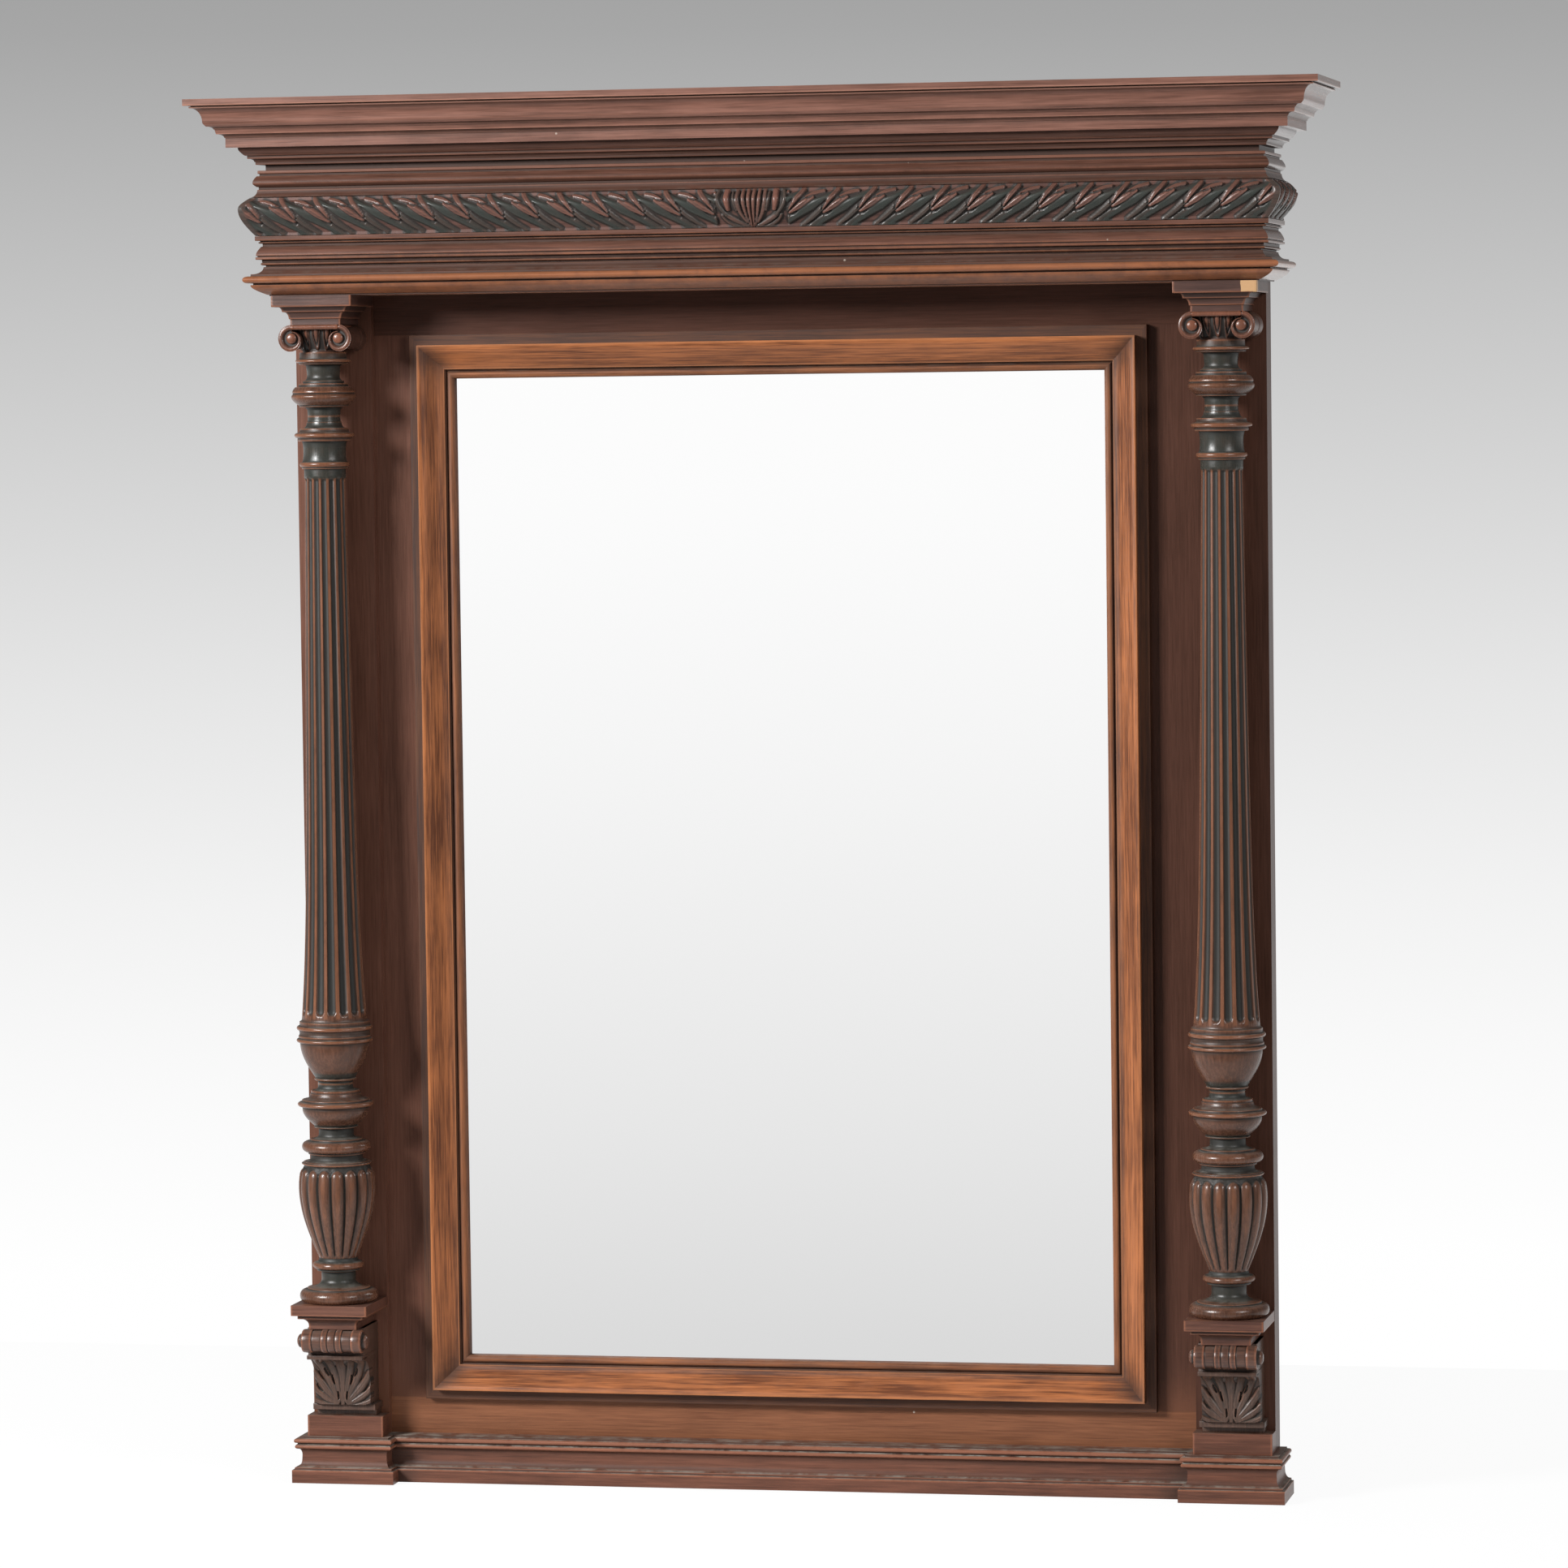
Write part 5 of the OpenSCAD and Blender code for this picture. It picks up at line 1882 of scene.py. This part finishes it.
        # grime and painted shade in the valleys between the lobes
        hollow = np.maximum(1 - eased_step(body, 0.1, 0.6), 0.1) * inside
        marks[:, 1] = np.where(bulb, hollow, marks[:, 1])
        marks[:, 2] = np.where(bulb, 0.1 * inside, self._blackened(radius))
        self._stand(blank, found, marks)
        blank.piece(f"column_vase_{self.side.word}", "turned", finish, crease=60.0)

    def _shaft(self, finish: bpy.types.Material) -> None:
        """Builds the fluted length.

        Args:
            finish: its material.
        """
        stretches = (0.995, 0.955, 16), (0.945, 0.04, 70), (0.035, 0.005, 16)
        share = np.concatenate([np.linspace(*stretch) for stretch in stretches])
        reach = self.foot_r - self.top_r
        taper = self.top_r + reach * (0.6 * share + 0.4 * share**7)
        plain = np.column_stack([taper, self.head_z - share * (self.head_z - self.flute_z)])
        foot, head = self.shaft_foot.points(self.shaft_z), self.shaft_head.points(self.head_z)
        outline = np.vstack([foot, plain, head])
        blank = spun(outline, self.flutes * 16)
        found, marks = blank.places(), blank.marks()
        radius, turn = polar(found)
        aside = np.abs((turn / (360 / self.flutes)) % 1 - 0.5)
        pitch = math.tau * radius / self.flutes
        width = self.flute_share * pitch
        z = found[:, 2]
        past = np.maximum(self.flute_z + 6 + width - z, 0) + np.maximum(z - self.head_z + width, 0)
        span = np.maximum(width, 0.1) ** 2
        body = np.clip(1 - ((aside * pitch) ** 2 + past**2) / span, 0, 1)
        fluted = (z > self.flute_z) & (z < self.head_z) & (radius > 20)
        depth = np.where(fluted, np.sqrt(body) * width * self.flute_depth, 0)
        sink(found, radius, depth)
        ridge = eased_step(aside, self.flute_share - 0.03, self.flute_share + 0.02)
        marks[:, 0] = np.where(fluted, ridge * 0.75, marks[:, 0])
        # grime and painted shade down the flutes
        marks[:, 1] = np.where(fluted, 0.9 * np.sqrt(body), marks[:, 1])
        black = eased_step(np.sqrt(body), 0.1, 0.6) * 0.3
        marks[:, 2] = np.where(fluted, black, self._blackened(radius))
        self._stand(blank, found, marks)
        blank.piece(f"column_shaft_{self.side.word}", "fluted", finish, crease=50.0)

    def _capital(self) -> None:
        """Builds the capital: drum with eggs and darts, band, and two bolsters with volutes."""
        finish = self.finishes.get(
            Walnut(
                "capital_walnut", Grain.UPRIGHT, light=(0.085, 0.038, 0.026),
                dark=(0.04, 0.019, 0.013), worn=(0.24, 0.083, 0.043), hollow=(0.013, 0.011, 0.009),
                grime_share=0.9, roughness=0.3, specular=0.4,
            )
        )
        drum = self._drum()
        for sign in (-1, 1):
            self._bolster(drum, sign)
        self._band(drum)
        drum.piece(f"capital_{self.side.word}", "carved", finish, "carved_walnut", 55.0)

    def _drum(self) -> Blank:
        """Makes the drum with its eggs and darts."""
        top = self.abacus_z - self.band_h
        levels = np.linspace(0, 1, 30)
        swell = self.drum_swell * np.sin(levels * math.pi / 2) ** 1.4
        radius = self.drum_r - self.drum_tuck + swell
        outline = np.column_stack([radius, self.capital_z + levels * (top - self.capital_z)])
        blank = spun(outline, self.eggs * 24)
        found, marks = blank.places(), blank.marks()
        reach, turn = polar(found)
        aside = np.abs((((turn + 90) / (360 / self.eggs)) + 0.5) % 1 - 0.5) * 2
        up = (found[:, 2] - self.capital_z) / (top - self.capital_z)
        egg = (aside / self.egg_w) ** 2 + ((up - 1.0) / self.egg_tall) ** 2
        shell = np.exp(-(((np.sqrt(egg) - self.shell_reach) / self.shell_w) ** 2))
        body = np.sqrt(np.clip(1 - egg, 0, 1))
        foot = 1 - eased_step(up, 0, 0.14)
        lift = np.maximum(self.egg_h * body, self.shell_h * shell)
        lift = np.maximum(lift, self.drum_foot_h * foot)
        side = reach > 15
        depth = np.where(side, self.drum_depth - lift, 0)
        sink(found, reach, depth)
        marks[:, 0] = np.where(side, eased_step(lift, 1.4, 2.4) * 0.5, 0)
        # grime and painted shade round the eggs
        marks[:, 1] = np.where(side, 1 - eased_step(lift, 0.3, 1.7), 0.5)
        self._stand(blank, found, marks)
        return blank

    def _bolster(self, blank: Blank, sign: int) -> None:
        """Adds a bolster with a volute at its front and back.

        Args:
            blank: mesh that it joins.
            sign: -1 for the bolster on the left of the column, 1 for the other.
        """
        depth, out = self.half_d, self.eye_out
        dome = [(self.eye_r * math.sin(t), depth - 1.2 + (out + 1.2) * math.cos(t))
                for t in np.linspace(0.05, math.pi / 2, 8)]
        face = [(r, depth) for r in np.linspace(self.eye_r + 0.3, self.volute_r - 0.6, 20)]
        roll = []
        for y in np.linspace(depth - 0.6, 0, 26):
            waist = self.waist_depth * (0.5 + 0.5 * math.cos(math.pi * y / depth)) ** 0.7
            near = (y - self.groove_place * depth) / self.groove_w
            groove = self.waist_groove * math.exp(-(near**2))
            roll.append((self.volute_r - waist - groove, y))
        half = np.array(dome + face + roll)
        whole = np.vstack([half, (half * [1, -1])[::-1][1:]])
        piece = spun(whole[::-1], 96)
        found, marks = piece.places(), piece.marks()
        radius = np.hypot(found[:, 0], found[:, 1])
        turn = (math.pi / 2 - np.arctan2(found[:, 1], found[:, 0] * sign)) % math.tau
        shrink = 1 - self.volute_shrink * eased_step(turn, math.pi * 0.75, math.tau) ** 1.1
        rim = self.volute_r * shrink
        narrowed = (rim - self.eye_r) / (self.volute_r - self.eye_r)
        curled = self.eye_r + (radius - self.eye_r) * narrowed
        spiral = np.where(radius > self.eye_r + 0.2, curled, radius)
        spiral = np.maximum(spiral, np.minimum(radius, self.eye_r))
        band_w = self.rim_w * np.clip(narrowed, 0.25, 1)
        on_face = (np.abs(found[:, 2]) > depth - 0.1) & (radius > self.eye_r)
        inner = eased_step(spiral, rim - band_w - 1.4, rim - band_w)
        across = np.clip((rim - spiral) / (band_w / 2) - 1, -1, 1)
        round_over = np.sqrt(1 - across**2)
        sunk = self.volute_sink * (1 - inner) + self.volute_edge * inner * (1 - round_over)
        scale = spiral / np.maximum(radius, 1e-6)
        crest = np.where(on_face, 0.6 * inner * round_over**4, 0)
        crest = np.maximum(crest, np.where(radius < self.eye_r, 0.7, 0))
        marks[:, 0] = np.maximum(marks[:, 0] * 0.6, crest)
        # grime and painted shade in the sunk channel of the volute
        marks[:, 1] = np.where(on_face, (1 - inner) * 0.95, marks[:, 1] * 0.6)
        y = np.sign(found[:, 2]) * (np.abs(found[:, 2]) - np.where(on_face, sunk, 0))
        x = found[:, 0] * scale + sign * self.volute_out
        z = found[:, 1] * scale + self.abacus_z - self.volute_r
        piece.reshape(world_places(self.side.value * self.x + x, self.q + y, z), marks)
        join(blank, piece)

    def _band(self, blank: Blank) -> None:
        """Adds the plain band over the eggs, between the volutes.

        Args:
            blank: mesh that it joins.
        """
        piece = boxed(
            (self.side.value * self.x, self.volute_out),
            (self.q - self.half_d, self.q + self.half_d),
            [(out, self.abacus_z + up * self.band_h)
             for out, up in ((-1.6, -1), (-0.3, -0.9), (0.5, -0.7), (0.8, -0.5), (0.5, -0.3),
                             (-0.3, -0.1), (-1.6, 0))],
        )
        join(blank, piece)

    def _abacus(self) -> None:
        """Builds the stepped abacus, with a broken corner on the right one."""
        tones = dict(light=(0.088, 0.043, 0.033), dark=(0.04, 0.021, 0.017))
        chipped = self.side is Side.RIGHT
        name, broken = ("abacus_walnut_chipped", self.chip) if chipped else ("abacus_walnut", ())
        finish = Walnut(name, Grain.ACROSS, **tones, bare_box=broken)
        depth = self.carcass_t, self.q + self.abacus_overhang
        middle = self.side.value * self.x
        blank = boxed((middle, 0.0), depth, self.abacus.points(self.abacus_z))
        blank.piece(f"abacus_{self.side.word}", "moulded", self.finishes.get(finish))


def join(blank: Blank, piece: Blank) -> None:
    """Moves one mesh into another.

    Args:
        blank: mesh that grows.
        piece: mesh that is used up.
    """
    bmesh.ops.recalc_face_normals(piece.bm, faces=piece.bm.faces)
    mesh = bpy.data.meshes.new("join")
    piece.bm.to_mesh(mesh)
    piece.bm.free()
    blank.bm.from_mesh(mesh)
    bpy.data.meshes.remove(mesh)


# ---------------------------------------------------------------------- studio


def grey(tone: float) -> Colour:
    """Turns a grey as it looks on screen into the colour that the renderer uses."""
    return (((tone + 0.055) / 1.055) ** 2.4,) * 3


@dataclass
class Studio:
    """Pale floor, grey-to-white surroundings, two soft lamps and the camera."""

    camera_place: tuple[float, float, float] = (1.7232, -8.1309, 1.4249)
    camera_turn: tuple[float, float, float] = (1.5098913, 0.0128461, 0.2055467)
    lens: float = 149.69
    sensor: float = 36.0
    floor_x: float = 2.6
    floor_y: tuple[float, float] = (-0.85, 1.2)
    floor_z: float = -0.0004
    floor_glow: float = 0.94
    daylight: Colour = (0.97, 0.985, 1.0)
    ambient: float = 0.26
    bounce: float = 1.0
    lamps: tuple[tuple[str, tuple[float, float, float], float, float], ...] = (
        ("key_lamp", (-3.9, -4.2, 3.0), 1.5, 600.0),
        ("fill_lamp", (4.4, -3.6, 3.2), 1.6, 150.0),
    )
    behind: tuple[tuple[float, float], ...] = (
        (0.4327, 1.0), (0.4473, 0.98), (0.4622, 0.946), (0.4771, 0.9), (0.492, 0.839),
        (0.5069, 0.769), (0.529, 0.642), (0.6, 0.5),
    )
    before: tuple[tuple[float, float], ...] = (
        (0.4, 0.45), (0.418, 0.84), (0.426, 0.859), (0.4428, 0.91), (0.4711, 0.966),
        (0.4901, 0.992), (0.508, 1.0), (0.53, 0.45),
    )
    card_x: tuple[float, float] = (-0.29, -0.12)
    card_tone: float = 0.45
    pale: float = 0.72

    def build(self) -> None:
        """Builds the studio."""
        self._floor()
        self._surroundings()
        for name, place, size, power in self.lamps:
            self._lamp(name, Vector(place), size, power)
        self._camera()
        bpy.context.scene.view_settings.view_transform = "Standard"

    def _floor(self) -> None:
        """Builds the floor, white to the camera but for the mirror's shadow."""
        bm = bmesh.new()
        bmesh.ops.create_grid(bm, x_segments=1, y_segments=1, size=1.0)
        low, high = self.floor_y
        middle, half = (low + high) / 2, (high - low) / 2
        for vertex in bm.verts:
            vertex.co = (vertex.co.x * self.floor_x, middle + vertex.co.y * half, self.floor_z)
        mesh = bpy.data.meshes.new("studio_floor")
        bm.to_mesh(mesh)
        bm.free()
        floor = bpy.data.objects.new("studio_floor", mesh)
        bpy.context.scene.collection.objects.link(floor)
        material = bpy.data.materials.new("floor_white")
        shader = Shader(material)
        matt = shader.node("ShaderNodeBsdfDiffuse", {}, {"Color": (0.92, 0.92, 0.92)})
        glow = shader.node("ShaderNodeEmission", {}, {"Color": (1, 1, 1), "Strength": 1.0})
        self._seen_or_lit(shader, matt, glow, self.floor_glow, "ShaderNodeOutputMaterial")
        mesh.materials.append(material)

    def _seen_or_lit(
        self, shader: Shader, lit: bpy.types.Node, seen: bpy.types.Node, share: float, output: str
    ) -> None:
        """Shows one shader to the camera, a gloss or glass, and lights the mirror by another.

        Args:
            shader: the node tree.
            lit: the shader that gives light.
            seen: the shader that is looked at.
            share: how much of the latter shows.
            output: type of the output node.
        """
        rays = [self._ray(shader, kind) for kind in ("Camera", "Glossy", "Transmission")]
        looks = (rays[0] + rays[1] + rays[2]).least(1.0) * share
        inputs = {0: looks, 1: lit.outputs[0], 2: seen.outputs[0]}
        mixed = shader.node("ShaderNodeMixShader", {}, inputs).outputs[0]
        shader.node(output, {}, {"Surface": mixed})

    def _ray(self, shader: Shader, kind: str) -> Value:
        """Gives 1 for rays of one kind."""
        return shader.value("ShaderNodeLightPath", {}, {}, f"Is {kind} Ray")

    def _surroundings(self) -> None:
        """Builds the world: even light, and to the camera a backdrop that pales downwards."""
        world = bpy.data.worlds.new("studio")
        bpy.context.scene.world = world
        shader = Shader(world)
        way = shader.node("ShaderNodeTexCoord", {}, {}).outputs["Generated"]
        aside, ahead, height = shader.axes(way)
        before, behind = [
            shader.ramp(height * 0.5 + 0.5, [(place, grey(tone)) for place, tone in stops])
            for stops in (self.before, self.behind)
        ]
        low, high = self.card_x
        card = aside.between(low - 0.05, low) * (1.0 - aside.between(high, high + 0.05))
        front = shader.blend(card, grey(self.card_tone), before)
        front = shader.blend(self._ray(shader, "Camera"), front, (self.pale,) * 3)
        picture = shader.blend(ahead.between(-0.1, 0.1), front, behind)
        below = 1.0 - height.between(-0.5, 0.1)
        strength = (below * self.bounce + 1.0) * self.ambient
        lit = {"Color": self.daylight, "Strength": strength}
        light = shader.node("ShaderNodeBackground", {}, lit)
        shown = shader.node("ShaderNodeBackground", {}, {"Color": picture})
        self._seen_or_lit(shader, light, shown, 1.0, "ShaderNodeOutputWorld")

    def _lamp(self, name: str, place: Vector, size: float, power: float) -> None:
        """Adds a soft lamp that faces the mirror.

        Args:
            name: the lamp's name.
            place: where it stands.
            size: side of its square.
            power: its power in watts.
        """
        light = bpy.data.lights.new(name, "AREA")
        light.size = size
        light.energy = power
        lamp = bpy.data.objects.new(name, light)
        lamp.location = place
        lamp.rotation_euler = (Vector((0, 0, 0.95)) - place).to_track_quat("-Z", "Y").to_euler()
        bpy.context.scene.collection.objects.link(lamp)

    def _camera(self) -> None:
        """Places the camera at the photograph's viewing angle."""
        data = bpy.data.cameras.new("camera")
        data.lens = self.lens
        data.sensor_width = self.sensor
        camera = bpy.data.objects.new("camera", data)
        camera.location = self.camera_place
        camera.rotation_euler = self.camera_turn
        bpy.context.scene.collection.objects.link(camera)
        bpy.context.scene.camera = camera


def main() -> None:
    """Builds the studio and the mirror."""
    logging.basicConfig(level=logging.INFO, format="%(name)s: %(message)s")
    finishes = FinishBox()
    Studio().build()
    Carcass(finishes).dress()
    MirrorFrame(finishes).build()
    plinth = Plinth(finishes)
    plinth.build_run()
    for side in Side:
        plinth.build_side(side)
        Console(finishes, side).build()
        Column(finishes, side).build()
    Entablature(finishes).build()


if __name__ == "__main__":
    main()
